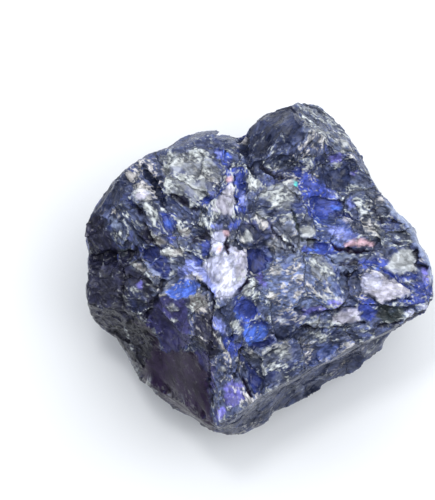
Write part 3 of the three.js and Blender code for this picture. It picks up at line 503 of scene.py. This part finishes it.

# Grooves and fine ridges: kind, half width, depth (below zero stands up), path x, y. The grooves are painted
# in dark kinds as painted shade, the ridges in pale kinds as painted highlights.
seamLines = [
    ("navy", 0.45, 0.55, (-11.4, 10.3, -10.8, 9.3, -10.2, 8.3, -9.8, 7.3, -9.4, 6.4)),
    ("gloom", 0.5, 0.5, (-12.2, 6.6, -11.9, 5.6, -11.4, 4.5, -11.1, 3.4, -10.4, 2.5, -9.9, 2)),
    ("gloom", 0.5, 0.35, (-16.4, 1.1, -15.2, 1.5, -13.4, 1.4, -12.2, 1.9)),
    ("gloom", 0.35, 0.35, (-8.7, 7.5, -7.8, 6.8, -6.9, 6, -6.1, 6)),
    ("navy", 0.7, 0.6, (-1.9, 13.4, -1.5, 12, -1, 10.7, -0.4, 9.9)),
    ("gloom", 0.35, 0.4, (0.3, 10.2, 1.4, 9.4, 2.6, 9.1, 3.3, 9.2)),
    ("navy", 0.2, 0.35, (-2.35, 9.3, -2.3, 7.6, -2.3, 6.2, -2.2, 5.4)),
    ("royal", 0.25, 0.3, (-6.2, 6.7, -5.2, 7.1, -4.2, 7.4, -3.5, 8, -3, 8.4)),
    ("slate", 0.3, 0.25, (-2.7, 3.4, -2.3, 2.6, -1.1, 2.2, 0.3, 2.3, 1, 2.9)),
    ("night", 0.16, 0.25, (-3.3, 3.4, -3.15, 2.6, -3.1, 1.6)),
    ("night", 0.12, 0.2, (-0.9, -0.6, -1.4, -1.3, -1.9, -2.1)),
    ("deep", 0.2, 0.35, (-1.1, 1.9, -1.05, 0.8, -1.05, -0.3)),
    ("gloom", 0.3, 0.5, (-6.3, -1.2, -5.2, -1.7, -4.6, -2.6, -4.6, -3.6, -4.7, -4.8)),
    ("gloom", 0.15, 0.25, (1.4, 2.5, 2.4, 2, 3.6, 1.8, 4.6, 1.7)),
    ("gloom", 0.25, 0.3, (1.3, 4.3, 1.7, 3.4, 2.5, 2.6, 3.4, 2.4)),
    ("olive", 0.25, 0.35, (3.2, 5.8, 3.8, 4.6, 4, 3.4, 4.3, 2.9, 5.4, 2.7)),
    ("gloom", 0.4, 0.5, (-9.6, -1.2, -9.7, -2, -10.2, -2.8, -10.6, -3.7, -11, -4.5)),
    ("gloom", 0.45, 0.4, (-13.7, 0.4, -13.6, -1.2, -13.7, -2.6, -13.5, -4.2, -12.8, -5.2)),
    ("gloom", 0.25, 0.3, (-13, -0.6, -12, -0.7, -11.2, -1.1, -10.2, -1.9)),
    ("night", 0.3, 0.5, (4.9, 2.9, 6.4, 2.9, 7.3, 2.6, 8.2, 2.05, 9.5, 1.85, 11.2, 1.9)),
    ("gloom", 0.2, 0.35, (7.3, 0.8, 8.3, 0.5, 9, 0.6, 9.9, 0.9)),
    ("royal", 0.2, 0.3, (12.3, 0.2, 12.8, -0.3, 13.5, -0.8, 14.2, -1.4, 15, -2)),
    ("gloom", 0.2, 0.35, (8.4, -0.6, 9, -0.5, 9.7, -0.1)),
    ("navy", 0.25, 0.35, (10.3, -2.3, 11.1, -2.6, 11.6, -3.2, 12.2, -3.5, 13.2, -3.1, 15, -2.9)),
    ("gloom", 0.25, 0.35, (-4.9, -5, -4.6, -6.2, -4.9, -8.2, -5, -9.6, -5, -11.6, -4.6, -13.6)),
    ("gloom", 0.3, 0.4, (-1.6, -7.8, -2, -9.4, -2.4, -10.6)),
    ("night", 0.25, 0.35, (-1.5, -10.9, -1.1, -11.9, -0.6, -12.6)),
    ("navy", 0.3, 0.35, (1.2, -6.3, 2.4, -6.9, 3.6, -6.2, 4.8, -5.9)),
    ("gloom", 0.25, 0.35, (4.2, -5.6, 5.4, -5.8, 6.8, -5.9)),
    ("navy", 0.3, 0.35, (3.6, -4, 5, -4.3, 6.6, -4.2, 7.6, -4.1, 9, -3.7)),
    ("gloom", 0.25, 0.3, (7.2, -5.9, 8.6, -5.7, 9.8, -5.2, 10.4, -5.2)),
    ("gloom", 0.2, 0.3, (11, 6.2, 11.8, 5.7, 12.3, 4.9, 12.6, 4.3)),
    ("gloom", 0.2, 0.3, (12.7, 4.6, 13.3, 4.8, 14, 4.5)),
    ("gloom", 0.2, 0.25, (12.4, 2.7, 13.4, 2.9, 14.2, 2.6)),
    ("gloom", 0.25, 0.3, (15.6, 1.8, 15.7, 1, 15.6, 0.4, 16.6, 0.1)),
    ("navy", 0.3, 0.35, (14.4, -3.9, 15.4, -3.6, 15.6, -4.5)),
    ("gloom", 0.3, 0.3, (12, -5.6, 13.6, -5.2, 14.8, -5, 16.4, -4.3)),
    ("warmGreyGlint", 0.22, -0.2, (-4.4, -6.4, -3.9, -7.2, -3.5, -8)),
    ("warmGreyGlint", 0.12, -0.1, (-3.5, -8, -3, -8.6, -2.7, -9.3)),
    ("warmGreyGlint", 0.1, -0.1, (-5.4, -4.9, -5.1, -5.8, -4.6, -6.4)),
    ("silver", 0.12, -0.1, (-13.5, -5.6, -13.2, -6.6, -12.6, -8)),
    ("silver", 0.14, -0.1, (-11.8, -10.6, -11, -11.7, -10.4, -12.4)),
    ("mist", 0.1, -0.08, (0.1, -9.4, 0.4, -10.1, 0.7, -10.7)),
    # painted highlight along the straight front edge, over a low ridge
    ("bevelHighlight", 0.14, -0.06, (-4, -16.1, -2, -14.9, 0.2, -13.5, 1.6, -12.6)),
    ("bevelHighlight", 0.2, -0.05, (-2.2, -14.3, -0.9, -13.4, 0.5, -12.5)),
    ("bevelHighlight", 0.3, -0.04, (-0.9, -14.1, 0.2, -13.4, 1.2, -12.8)),
    ("bevelHighlight", 0.12, -0.06, (-0.4, -12.9, 1.8, -11.6, 3.8, -10.4, 5.6, -9.4, 7.4, -8.4, 9.8, -7.3)),
    ("silver", 0.12, -0.1, (-12.8, 0.7, -12.2, 0.2, -11.5, -0.3, -10.6, -0.6, -9.9, -1.1)),
    ("silver", 0.1, -0.08, (-11.3, -1.3, -10.7, -1.6, -10, -2.1)),
    ("silver", 0.1, -0.08, (-12.6, -4.1, -12, -4.3, -11.2, -4, -10.6, -3.9)),
    ("mist", 0.12, -0.05, (-7.7, -1, -7.1, -0.6, -6.4, -0.4)),
    ("mist", 0.12, -0.05, (-8.6, -4.8, -8.1, -5.2)),
    ("silver", 0.15, -0.1, (-6.2, -6.4, -5.7, -6.8, -5.3, -7.2)),
]

patchSettings = {
    "edge": 0.12,           # softness of a patch's edge, mm
    "roughSize": 0.6,
    "crispEdge": 0.17,      # how far the edge of a crisp patch strays, mm
    "looseEdge": 0.32,      # and of any other
    "roughShift": 7.7,
    "feather": (0.26, 0.16, 4.4),    # the edges splinter along the grain: size, amount, shift
    # painted shade: the steep sides are painted darker
    "rim": (0.1, 0.5),      # the rim is dark where the normal rises less than this
    "rimShare": 0.7,        # how far the patches of the sides sink into the dark of the rim
    "top": (-0.04, 0.16),   # the broad face is where the normal rises more than this
    "topScatter": 0.2,      # share of the scattered patches that shows on the broad face
    "base": "slate",
    # pale strokes on the bare stone: painted glints, partly frosted micro-fractures
    "baseFrostGlint": 0.5,
    "baseCalm": 0.1,
    "sideKinds": {"navy": 40, "royal": 16, "silver": 30, "hatch": 44, "slate": 34, "gloom": 34, "deep": 16,
                  "violet": 8, "mist": 5, "fog": 12, "warmGreyGlint": 6, "cobalt": 3, "plum": 18, "olive": 10},
    "sideSize": (0.8, 3.2),
    "sideSqueeze": (0.4, 1.0),
    "sideEdge": (0.85, 1.05),        # where a scattered patch fades, against its size
    "sideWander": (1.4, 0.6, 2.3),
    "seamWide": 0.75,       # width of the grooves against their list
    "seamLeast": 0.05,      # but never less, mm
    "seamRun": 0.9,         # mm over which a groove comes and goes
    "seamFray": 0.9,        # how much its width comes and goes
    "seamDepth": (0.85, 1.2),        # share of its depth, and how much that comes and goes
    "ridgeFray": 0.3,
    "ridgeShare": 0.7,
    "seamPaint": (0.05, 0.6),
    "seed": 11,
}


def awayFrom(x, y, starts, ends):
    away = np.full(len(x), np.inf)
    for (ax, ay), (bx, by) in zip(starts, ends):
        dx, dy = bx - ax, by - ay
        t = np.clip(((x - ax) * dx + (y - ay) * dy) / (dx * dx + dy * dy), 0, 1)
        away = np.minimum(away, np.hypot(x - ax - t * dx, y - ay - t * dy))
    return away


def pathOf(corners):
    return np.array(corners, float).reshape(-1, 2)


def insideOutline(x, y, corners, edge):
    path = pathOf(corners)
    away = awayFrom(x, y, path, np.roll(path, -1, 0))
    inside = np.zeros(len(x), bool)
    for (ax, ay), (bx, by) in zip(path, np.roll(path, -1, 0)):
        dx, dy = bx - ax, by - ay
        crossing = (ay > y) != (by > y)
        with np.errstate(divide="ignore", invalid="ignore"):
            inside ^= crossing & (x < ax + (y - ay) * dx / dy)
    return eased(np.where(inside, away, -away), -edge, edge)


def nearTo(points, corners, reach):
    path = pathOf(corners)
    low, high = path.min(0) - reach, path.max(0) + reach
    return np.flatnonzero(((points[:, :2] > low) & (points[:, :2] < high)).all(1))


class Paint:
    def __init__(self, count, s):
        self.tint = np.tile(np.array(patchKinds[s["base"]][0]), (count, 1))
        self.frostGlint = np.full(count, s["baseFrostGlint"])
        self.calm = np.full(count, s["baseCalm"])
        self.lift = np.zeros(count)

    def add(self, chosen, kind, mask, lifted=True):
        colour, cover, frostGlint, calm, lift = patchKinds[kind]
        share = mask * cover
        self.tint[chosen] += (np.array(colour) - self.tint[chosen]) * share[:, None]
        self.frostGlint[chosen] += (frostGlint - self.frostGlint[chosen]) * mask
        self.calm[chosen] += (calm - self.calm[chosen]) * mask
        if lifted:
            self.lift[chosen] += (lift - self.lift[chosen]) * mask

    def store(self, mesh):
        putAttribute(mesh, "stoneTint", "FLOAT_COLOR", np.column_stack((self.tint, np.ones(len(self.tint)))))
        putAttribute(mesh, "frostGlint", "FLOAT", self.frostGlint)
        putAttribute(mesh, "calm", "FLOAT", self.calm)
        putAttribute(mesh, "lift", "FLOAT", self.lift)


def scatterPatches(paint, points, allowed, mesh, s):
    rng = np.random.default_rng(s["seed"])
    kinds = [kind for kind, count in s["sideKinds"].items() for _ in range(count)]
    spots = randomOn(mesh, len(kinds), rng)
    for kind, spot in zip(rng.permutation(kinds), spots):
        length, squeeze = rng.uniform(*s["sideSize"]), rng.uniform(*s["sideSqueeze"])
        axis = rng.normal(size=3)
        axis /= np.linalg.norm(axis)
        away = points - spot
        along = away @ axis
        reach = np.sqrt(along ** 2 + ((away ** 2).sum(1) - along ** 2) / squeeze ** 2) / length
        near = np.flatnonzero(reach < s["sideEdge"][1])
        paint.add(near, kind, (1 - eased(reach[near], *s["sideEdge"])) * allowed[near])


def laySeams(paint, points, drifted, top, s):
    fickle = np.array([noise.noise(Vector(p) / s["seamRun"]) for p in points])
    for kind, wide, depth, corners in seamLines:
        near = nearTo(drifted, corners, wide)
        path = pathOf(corners)
        away = awayFrom(drifted[near, 0], drifted[near, 1], path[:-1], path[1:])
        fray = s["seamFray"] if depth > 0 else s["ridgeFray"]
        width = wide * s["seamWide"] * (1 + fray * fickle[near])
        mask = np.clip(1 - away / np.maximum(width, s["seamLeast"]), 0, 1) * top[near]
        share, sway = s["seamDepth"]
        mask *= np.clip(share + sway * fickle[near], 0, 1) if depth > 0 else s["ridgeShare"]
        paint.lift[near] -= mask * depth
        # the groove's kind is painted along it: painted shade in the grooves, a painted highlight on the
        # ridges
        paint.add(near, kind, eased(mask, *s["seamPaint"]), False)


def layPatches(mesh, grain, s):
    points = pointField(mesh, "co")
    paint = Paint(len(points), s)
    feathers = wandered(grain, *s["feather"]) - grain
    crisp = wandered(points, s["roughSize"], s["crispEdge"], s["roughShift"]) + feathers
    loose = wandered(points, s["roughSize"], s["looseEdge"], s["roughShift"]) + feathers
    rise = pointField(mesh, "normal")[:, 2]
    top = eased(rise, *s["top"])
    side = 1 - eased(rise, *s["rim"])
    allowed = s["topScatter"] + side * (1 - s["topScatter"])
    scatterPatches(paint, wandered(loose, *s["sideWander"]), allowed, mesh, s)
    # painted shade on the steep sides
    paint.add(np.arange(len(points)), "rim", side * s["rimShare"])
    for kind, corners in patchOutlines:
        drifted = crisp if kind in crispKinds else loose
        near = nearTo(drifted, corners, s["edge"])
        mask = insideOutline(drifted[near, 0], drifted[near, 1], corners, s["edge"])
        paint.add(near, kind, mask * top[near])
    laySeams(paint, points, crisp, top, s)
    paint.store(mesh)


# The smooth face broken down the front left is evened out between these corners.
cleaveSettings = {
    "corners": (-13.6, -6.4, -10.8, -6.6, -9.8, -8.4, -7.0, -8.6, -5.7, -10.6, -5.2, -13.2, -5.4, -15.0,
                -8.5, -13.9, -12.4, -11.2),
    "edge": 0.4,
    "rounds": 500,
}


def neighbours(mesh):
    ends = np.empty(len(mesh.edges) * 2, np.int32)
    mesh.edges.foreach_get("vertices", ends)
    return ends.reshape(-1, 2).T


def relaxed(points, a, b, rounds, hold=1.0):
    count = len(points)
    share = np.maximum(np.bincount(a, minlength=count) + np.bincount(b, minlength=count), 1)[:, None]
    for _ in range(rounds):
        total = [np.bincount(a, points[b, k], count) + np.bincount(b, points[a, k], count) for k in range(3)]
        points = points + (np.stack(total, 1) / share - points) * hold
    return points


def evenCleave(mesh, s):
    points = pointField(mesh, "co")
    near = nearTo(points, s["corners"], s["edge"])
    near = near[pointField(mesh, "normal")[near, 2] > 0]
    slot = np.full(len(points), -1)
    slot[near] = np.arange(len(near))
    a, b = neighbours(mesh)
    inside = (slot[a] >= 0) & (slot[b] >= 0)
    hold = insideOutline(points[near, 0], points[near, 1], s["corners"], s["edge"])[:, None]
    points[near] = relaxed(points[near], slot[a[inside]], slot[b[inside]], s["rounds"], hold)
    mesh.vertices.foreach_set("co", points.astype(np.float32).ravel())
    mesh.update()


def searchTree(mesh):
    faces = [tuple(face.vertices) for face in mesh.polygons]
    return BVHTree.FromPolygons([point.co.copy() for point in mesh.vertices], faces)


evenCleave(fine, cleaveSettings)
grain = layBlocks(fine, searchTree(fine), blockSettings)
layPatches(fine, grain, patchSettings)
print("blocks and patches laid out")


reliefSettings = {
    # sizes, depths and heights in mm
    "Chip Size": 2.1,
    "Chip Depth": 0.4,
    "Flake Size": 0.85,
    "Flake Depth": 0.14,
    "Splinter Size": 0.42,
    "Splinter Depth": 0.07,
    "Cell Step": 0.6,       # how far a cell stands above or below the next, against its lean
    "Ledge Size": 3.2,
    "Ledge Count": 14.0,
    "Ledge Height": 0.09,
    "Calm Left": 0.08,
    "Side Left": 0.75,
    "Side From": 0.1,       # the sides are where the normal rises less than this
    "Side To": 0.6,
    "Rest Height": 0.7,     # the relief dies away over this height, down to the face it lies on
}


def feed(tree, node, inputs):
    for name, value in inputs.items():
        if isinstance(value, bpy.types.NodeSocket):
            tree.links.new(value, node.inputs[name])
        else:
            node.inputs[name].default_value = value


def addNode(tree, kind, inputs=None, **values):
    node = tree.nodes.new(kind)
    for name, value in values.items():
        setattr(node, name, value)
    feed(tree, node, inputs or {})
    return node


def mathNode(tree, operation, *values):
    return addNode(tree, "ShaderNodeMath", dict(enumerate(values)), operation=operation).outputs[0]


def plus(tree, a, b):
    return mathNode(tree, "ADD", a, b)


def minus(tree, a, b):
    return mathNode(tree, "SUBTRACT", a, b)


def times(tree, a, b):
    return mathNode(tree, "MULTIPLY", a, b)


def vectorNode(tree, operation, *values, out=0):
    return addNode(tree, "ShaderNodeVectorMath", dict(enumerate(values)), operation=operation).outputs[out]


def scaled(tree, vector, factor):
    return addNode(tree, "ShaderNodeVectorMath", {0: vector, "Scale": factor}, operation="SCALE").outputs[0]


def divided(tree, vector, size):
    sizes = addNode(tree, "ShaderNodeCombineXYZ", {0: size, 1: size, 2: size})
    return vectorNode(tree, "DIVIDE", vector, sizes.outputs[0])


def rising(tree, vector):
    return addNode(tree, "ShaderNodeSeparateXYZ", {0: vector}).outputs[2]


def centred(tree, colour):
    return vectorNode(tree, "SUBTRACT", colour, (0.5, 0.5, 0.5))


def mapRange(tree, value, a, b, c, d, smooth=False):
    inputs = {"Value": value, "From Min": a, "From Max": b, "To Min": c, "To Max": d}
    shape = "SMOOTHSTEP" if smooth else "LINEAR"
    return addNode(tree, "ShaderNodeMapRange", inputs, interpolation_type=shape).outputs[0]


def noiseTexture(tree, place, scale, detail, out=0):
    inputs = {"Vector": place, "Scale": scale, "Detail": detail}
    return addNode(tree, "ShaderNodeTexNoise", inputs).outputs[out]


def cellTexture(tree, place, scale):
    inputs = {"Vector": place, "Scale": scale}
    return addNode(tree, "ShaderNodeTexVoronoi", inputs, voronoi_dimensions="3D", feature="F1").outputs


def named(tree, name, kind):
    return addNode(tree, "GeometryNodeInputNamedAttribute", {"Name": name}, data_type=kind).outputs[0]


# Flat cells, each leaning its own way and a step above or below the next.
def leaningCells(tree, place, given, layer):
    spot = divided(tree, place, given[layer + " Size"])
    cells = cellTexture(tree, spot, 1)
    lean = centred(tree, cells["Color"])
    away = vectorNode(tree, "SUBTRACT", spot, cells["Position"])
    slope = vectorNode(tree, "DOT_PRODUCT", away, lean, out=1)
    step = times(tree, rising(tree, lean), given["Cell Step"])
    return times(tree, plus(tree, slope, step), given[layer + " Depth"])


def ledges(tree, place, given):
    wave = noiseTexture(tree, divided(tree, place, given["Ledge Size"]), 1, 3)
    level = mathNode(tree, "FLOOR", times(tree, wave, given["Ledge Count"]))
    middle = times(tree, given["Ledge Count"], 0.5)
    return times(tree, minus(tree, level, middle), given["Ledge Height"])


def reliefTree(material):
    tree = bpy.data.node_groups.new("brokenSurface", "GeometryNodeTree")
    face = tree.interface
    face.new_socket("Geometry", in_out="INPUT", socket_type="NodeSocketGeometry")
    for name in reliefSettings:
        face.new_socket(name, in_out="INPUT", socket_type="NodeSocketFloat")
    face.new_socket("Geometry", in_out="OUTPUT", socket_type="NodeSocketGeometry")
    given = addNode(tree, "NodeGroupInput").outputs
    place = named(tree, "grainPoint", "FLOAT_VECTOR")
    height = leaningCells(tree, place, given, "Chip")
    for layer in ("Flake", "Splinter"):
        height = plus(tree, height, leaningCells(tree, place, given, layer))
    height = plus(tree, height, ledges(tree, place, given))
    calm = named(tree, "calm", "FLOAT")
    height = times(tree, height, mapRange(tree, calm, 0.0, 1.0, 1.0, given["Calm Left"]))
    normal = addNode(tree, "GeometryNodeInputNormal").outputs[0]
    limits = given["Side From"], given["Side To"], given["Side Left"], 1.0
    height = times(tree, height, mapRange(tree, rising(tree, normal), *limits, True))
    height = plus(tree, height, named(tree, "lift", "FLOAT"))
    position = addNode(tree, "GeometryNodeInputPosition").outputs[0]
    clear = mapRange(tree, rising(tree, position), 0.0, given["Rest Height"], 0.0, 1.0, True)
    height = times(tree, height, clear)
    offset = scaled(tree, normal, height)
    shape = addNode(tree, "GeometryNodeSetPosition", {"Geometry": given["Geometry"], "Offset": offset})
    shape = addNode(tree, "GeometryNodeRealizeInstances", {0: shape.outputs[0]})
    shape = addNode(tree, "GeometryNodeSetMaterial", {"Geometry": shape.outputs[0], "Material": material})
    addNode(tree, "NodeGroupOutput", {0: shape.outputs[0]})
    return tree


def runTree(thing, tree, values):
    modifier = thing.modifiers.new(tree.name, "NODES")
    modifier.node_group = tree
    for item in tree.interface.items_tree:
        if item.in_out == "INPUT" and item.name in values:
            modifier[item.identifier] = values[item.name]
    mesh = evaluatedMesh(thing, thing.name + "Done")
    thing.modifiers.remove(modifier)
    return mesh


finishSettings = {
    # near-black of the painted shade in the fine cracks
    "night": (0.009, 0.009, 0.024),
    # silver and beige: colours of the pale strokes, painted glints that are partly frosted micro-fractures
    "silver": (0.42, 0.445, 0.44),
    "beige": (0.43, 0.41, 0.40),
    "spark": (0.03, 0.05, 0.26),
    "roughness": (0.16, 0.42),
    "ior": 1.77,
    "gloss": 0.13,
    "calmLeft": 0.03,              # share of the roughness that a calm patch keeps
    "flakeShade": (0.8, 1.42),     # from the darkest flake to the palest
    "streakScale": 1.1,
    "streakWhere": (0.3, 0.7),
    "streakShade": (0.7, 1.3),
    # painted highlight: ridges are painted lighter
    "ridgeAt": 0.12,               # mm that a ridge stands proud
    "ridgeHighlight": 1.35,
    # painted shade: hollows are painted darker
    "hollowAt": -0.14,
    "hollowShare": 0.45,
    "hollowShade": 0.5,
    # the fine cracks are darkened in colour: painted shade in them
    "crackSize": 0.75,             # mm between the dark cracks
    "crackWide": 0.035,
    "crackBend": (0.6, 1.6),       # how often they bend and how far, against their size
    "crackWhere": (0.44, 0.6),
    "crackShade": 0.6,
    "crackDepth": 0.05,
    # The pale strokes below are painted glints, partly frosted micro-fractures; frost here means that mix.
    "strokeSize": 0.13,            # mm between the pale strokes
    "strokeStart": (0.64, 0.43),   # level they begin at, on a bare patch and on a frosted one
    "strokeWide": 0.2,
    "strokeFrostGlint": 0.5,            # frost from which they cover as much as they can
    "strokeShare": (0.15, 0.8),
    "strokeProud": 0.6,            # how much more of them a ridge has
    "strokeMottle": 0.75,
    "strokeLift": 0.05,
    "clumpSize": 0.55,             # mm between the clumps of strokes
    "clumpShift": (5.0, 2.0, 1.0),
    "clumpSway": 0.3,
    "clumpWhere": (0.3, 0.7),
    "clumpShade": (0.6, 1.4),
    "hueSize": 3.0,                # mm between silver and beige
    "hueWhere": (0.48, 0.62),
    "mottleSize": 0.2,             # mm between light and dark specks
    "mottleShift": (3.0, 8.0, 5.0),
    "mottleWhere": (0.38, 0.62),
    "mottleSway": 0.52,
    "mottleCalm": 0.3,
    "sparkSize": 0.8,              # mm between the blue specks
    "sparkShift": (9.0, 4.0, 7.0),
    "sparkWhere": (0.57, 0.68),
    "sparkFrostGlint": (0.15, 0.5),
    "sparkMost": 0.35,
    "crumbSize": 0.22,
    "flakeTilt": 0.4,
    "rippleLift": 0.25,
    "bumpStrength": 0.9,
    "bumpDistance": 0.001,         # m
}


def shaderAttribute(tree, name, out="Fac"):
    return addNode(tree, "ShaderNodeAttribute", attribute_name=name).outputs[out]


def mixColour(tree, factor, *colours):
    a, b = [c if isinstance(c, bpy.types.NodeSocket) else (*c, 1) for c in colours]
    return addNode(tree, "ShaderNodeMix", {"Factor": factor, 6: a, 7: b}, data_type="RGBA").outputs[2]


def channel(tree, colour, index):
    return addNode(tree, "ShaderNodeSeparateColor", {0: colour}).outputs[index]


def softNoise(tree, place, size, detail, shift=None):
    spot = place if shift is None else vectorNode(tree, "ADD", place, shift)
    return noiseTexture(tree, spot, 0.5 / size, detail)    # one light and one dark spot to a wave


# Thin lines where a noise bent by another one crosses its middle level.
def fineCracks(tree, place, s):
    size = s["crackSize"]
    often, far = s["crackBend"]
    shift = centred(tree, noiseTexture(tree, place, often / size, 2, "Color"))
    bent = vectorNode(tree, "ADD", place, scaled(tree, shift, size * far))
    away = mathNode(tree, "ABSOLUTE", minus(tree, softNoise(tree, bent, size, 2), 0.5))
    return mapRange(tree, away, 0.0, s["crackWide"], 1, 0, True)


# What the colour and the bump both read.
def stoneFields(tree, s):
    place = shaderAttribute(tree, "grainPoint", "Vector")
    calm = shaderAttribute(tree, "calm")
    frostGlint = shaderAttribute(tree, "frostGlint")
    proud = shaderAttribute(tree, "proud")
    rugged = mapRange(tree, calm, 0, 1, 1, s["calmLeft"])
    streaks = noiseTexture(tree, place, s["streakScale"], 5)
    cracked = mapRange(tree, streaks, *s["crackWhere"], 0, 1, True)
    cracks = times(tree, times(tree, fineCracks(tree, place, s), cracked), rugged)
    clumps = softNoise(tree, place, s["clumpSize"], 1, s["clumpShift"])
    strokes = softNoise(tree, place, s["strokeSize"], 3)
    strokes = plus(tree, strokes, mapRange(tree, clumps, 0, 1, -s["clumpSway"], s["clumpSway"]))
    # ridges get more of the pale strokes: more painted glints on them
    strokes = plus(tree, strokes, times(tree, proud, s["strokeProud"]))
    strokes = minus(tree, strokes, mapRange(tree, frostGlint, 0, 1, *s["strokeStart"]))
    return {
        "place": place,
        "calm": calm,
        "frostGlint": frostGlint,
        "proud": proud,
        "rugged": rugged,
        "streaks": streaks,
        "cracks": cracks,
        "clumps": clumps,
        "strokes": mapRange(tree, strokes, 0.0, s["strokeWide"], 0, 1, True),
        "flakes": cellTexture(tree, place, 1 / reliefSettings["Flake Size"])["Color"],
        "splinters": cellTexture(tree, place, 1 / reliefSettings["Splinter Size"])["Color"],
    }


def stoneColour(tree, f, s):
    mottle = softNoise(tree, f["place"], s["mottleSize"], 3, s["mottleShift"])
    mottle = mapRange(tree, mottle, *s["mottleWhere"], -s["mottleSway"], s["mottleSway"], True)
    mottle = times(tree, mottle, mapRange(tree, f["calm"], 0, 1, 1, s["mottleCalm"]))
    tint = shaderAttribute(tree, "stoneTint", "Color")
    shade = mapRange(tree, channel(tree, f["flakes"], 1), 0, 1, *s["flakeShade"])
    shade = times(tree, shade, mapRange(tree, f["streaks"], *s["streakWhere"], *s["streakShade"]))
    # painted highlight: ridges are painted lighter
    ridge = mapRange(tree, f["proud"], 0.0, s["ridgeAt"], 0, 1, True)
    shade = times(tree, shade, mapRange(tree, ridge, 0, 1, 1, s["ridgeHighlight"]))
    colour = scaled(tree, tint, times(tree, shade, plus(tree, mottle, 1.0)))

    specks = softNoise(tree, f["place"], s["sparkSize"], 2, s["sparkShift"])
    specks = mapRange(tree, specks, *s["sparkWhere"], 0, s["sparkMost"], True)
    specks = times(tree, specks, mapRange(tree, f["frostGlint"], *s["sparkFrostGlint"], 0, 1))
    colour = mixColour(tree, specks, colour, s["spark"])

    # the pale strokes: painted glints, partly frosted micro-fractures
    hue = mapRange(tree, softNoise(tree, f["place"], s["hueSize"], 1), *s["hueWhere"], 0, 1, True)
    bright = plus(tree, times(tree, mottle, s["strokeMottle"]), 1.0)
    bright = times(tree, bright, mapRange(tree, f["clumps"], *s["clumpWhere"], *s["clumpShade"]))
    frostGlintColour = scaled(tree, mixColour(tree, hue, s["silver"], s["beige"]), bright)
    pale = times(tree, f["strokes"], mapRange(tree, f["frostGlint"], 0, s["strokeFrostGlint"], *s["strokeShare"]))
    colour = mixColour(tree, pale, colour, frostGlintColour)

    # painted shade: hollows are painted darker
    hollow = mapRange(tree, f["proud"], 0.0, s["hollowAt"], 0, 1, True)
    hollow = times(tree, hollow, s["hollowShare"])
    colour = mixColour(tree, hollow, colour, scaled(tree, tint, s["hollowShade"]))
    # painted shade in the fine cracks
    return mixColour(tree, times(tree, f["cracks"], s["crackShade"]), colour, s["night"])


def stoneNormal(tree, f, s):
    crumbs = cellTexture(tree, f["place"], 1 / s["crumbSize"])["Color"]
    lean = vectorNode(tree, "ADD", centred(tree, f["splinters"]), centred(tree, crumbs))
    lean = scaled(tree, lean, times(tree, f["rugged"], s["flakeTilt"]))
    normal = addNode(tree, "ShaderNodeNewGeometry").outputs["Normal"]
    ripple = times(tree, times(tree, f["streaks"], f["rugged"]), s["rippleLift"])
    ripple = plus(tree, ripple, times(tree, f["strokes"], s["strokeLift"]))
    inputs = {
        "Strength": s["bumpStrength"],
        "Distance": s["bumpDistance"],
        "Height": minus(tree, ripple, times(tree, f["cracks"], s["crackDepth"])),
        "Normal": vectorNode(tree, "NORMALIZE", vectorNode(tree, "ADD", normal, lean)),
    }
    return addNode(tree, "ShaderNodeBump", inputs).outputs[0]


def sapphireMaterial(s):
    material = bpy.data.materials.new("roughSapphire")
    material.use_nodes = True
    tree = material.node_tree
    fields = stoneFields(tree, s)
    feed(tree, tree.nodes["Principled BSDF"], {
        "Base Color": stoneColour(tree, fields, s),
        "Roughness": mapRange(tree, channel(tree, fields["splinters"], 2), 0, 1, *s["roughness"]),
        "IOR": s["ior"],
        "Specular IOR Level": s["gloss"],
        "Normal": stoneNormal(tree, fields, s),
    })
    return material


def markProud(mesh, rounds):
    points = pointField(mesh, "co")
    smooth = relaxed(points, *neighbours(mesh), rounds)
    putAttribute(mesh, "proud", "FLOAT", ((points - smooth) * pointField(mesh, "normal")).sum(1))


def brokenStone(mesh, material, s):
    rough = placed("roughStone", mesh)
    carved = runTree(rough, reliefTree(material), reliefSettings)
    bpy.data.objects.remove(rough)
    carved = thinned(carved, s["triangles"])
    markProud(carved, s["proudRounds"])
    carved.transform(Matrix.Scale(1 / mm, 4))
    carved.shade_smooth()
    carved.set_sharp_from_angle(angle=math.radians(s["sharpAngle"]))
    return carved


carved = brokenStone(fine, sapphireMaterial(finishSettings), meshSettings)
stone = placed("sapphireStone", carved)
print("broken surface made:", sum(len(p.vertices) - 2 for p in carved.polygons), "triangles")

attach(stone, "root")
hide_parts("sapphire_stone")
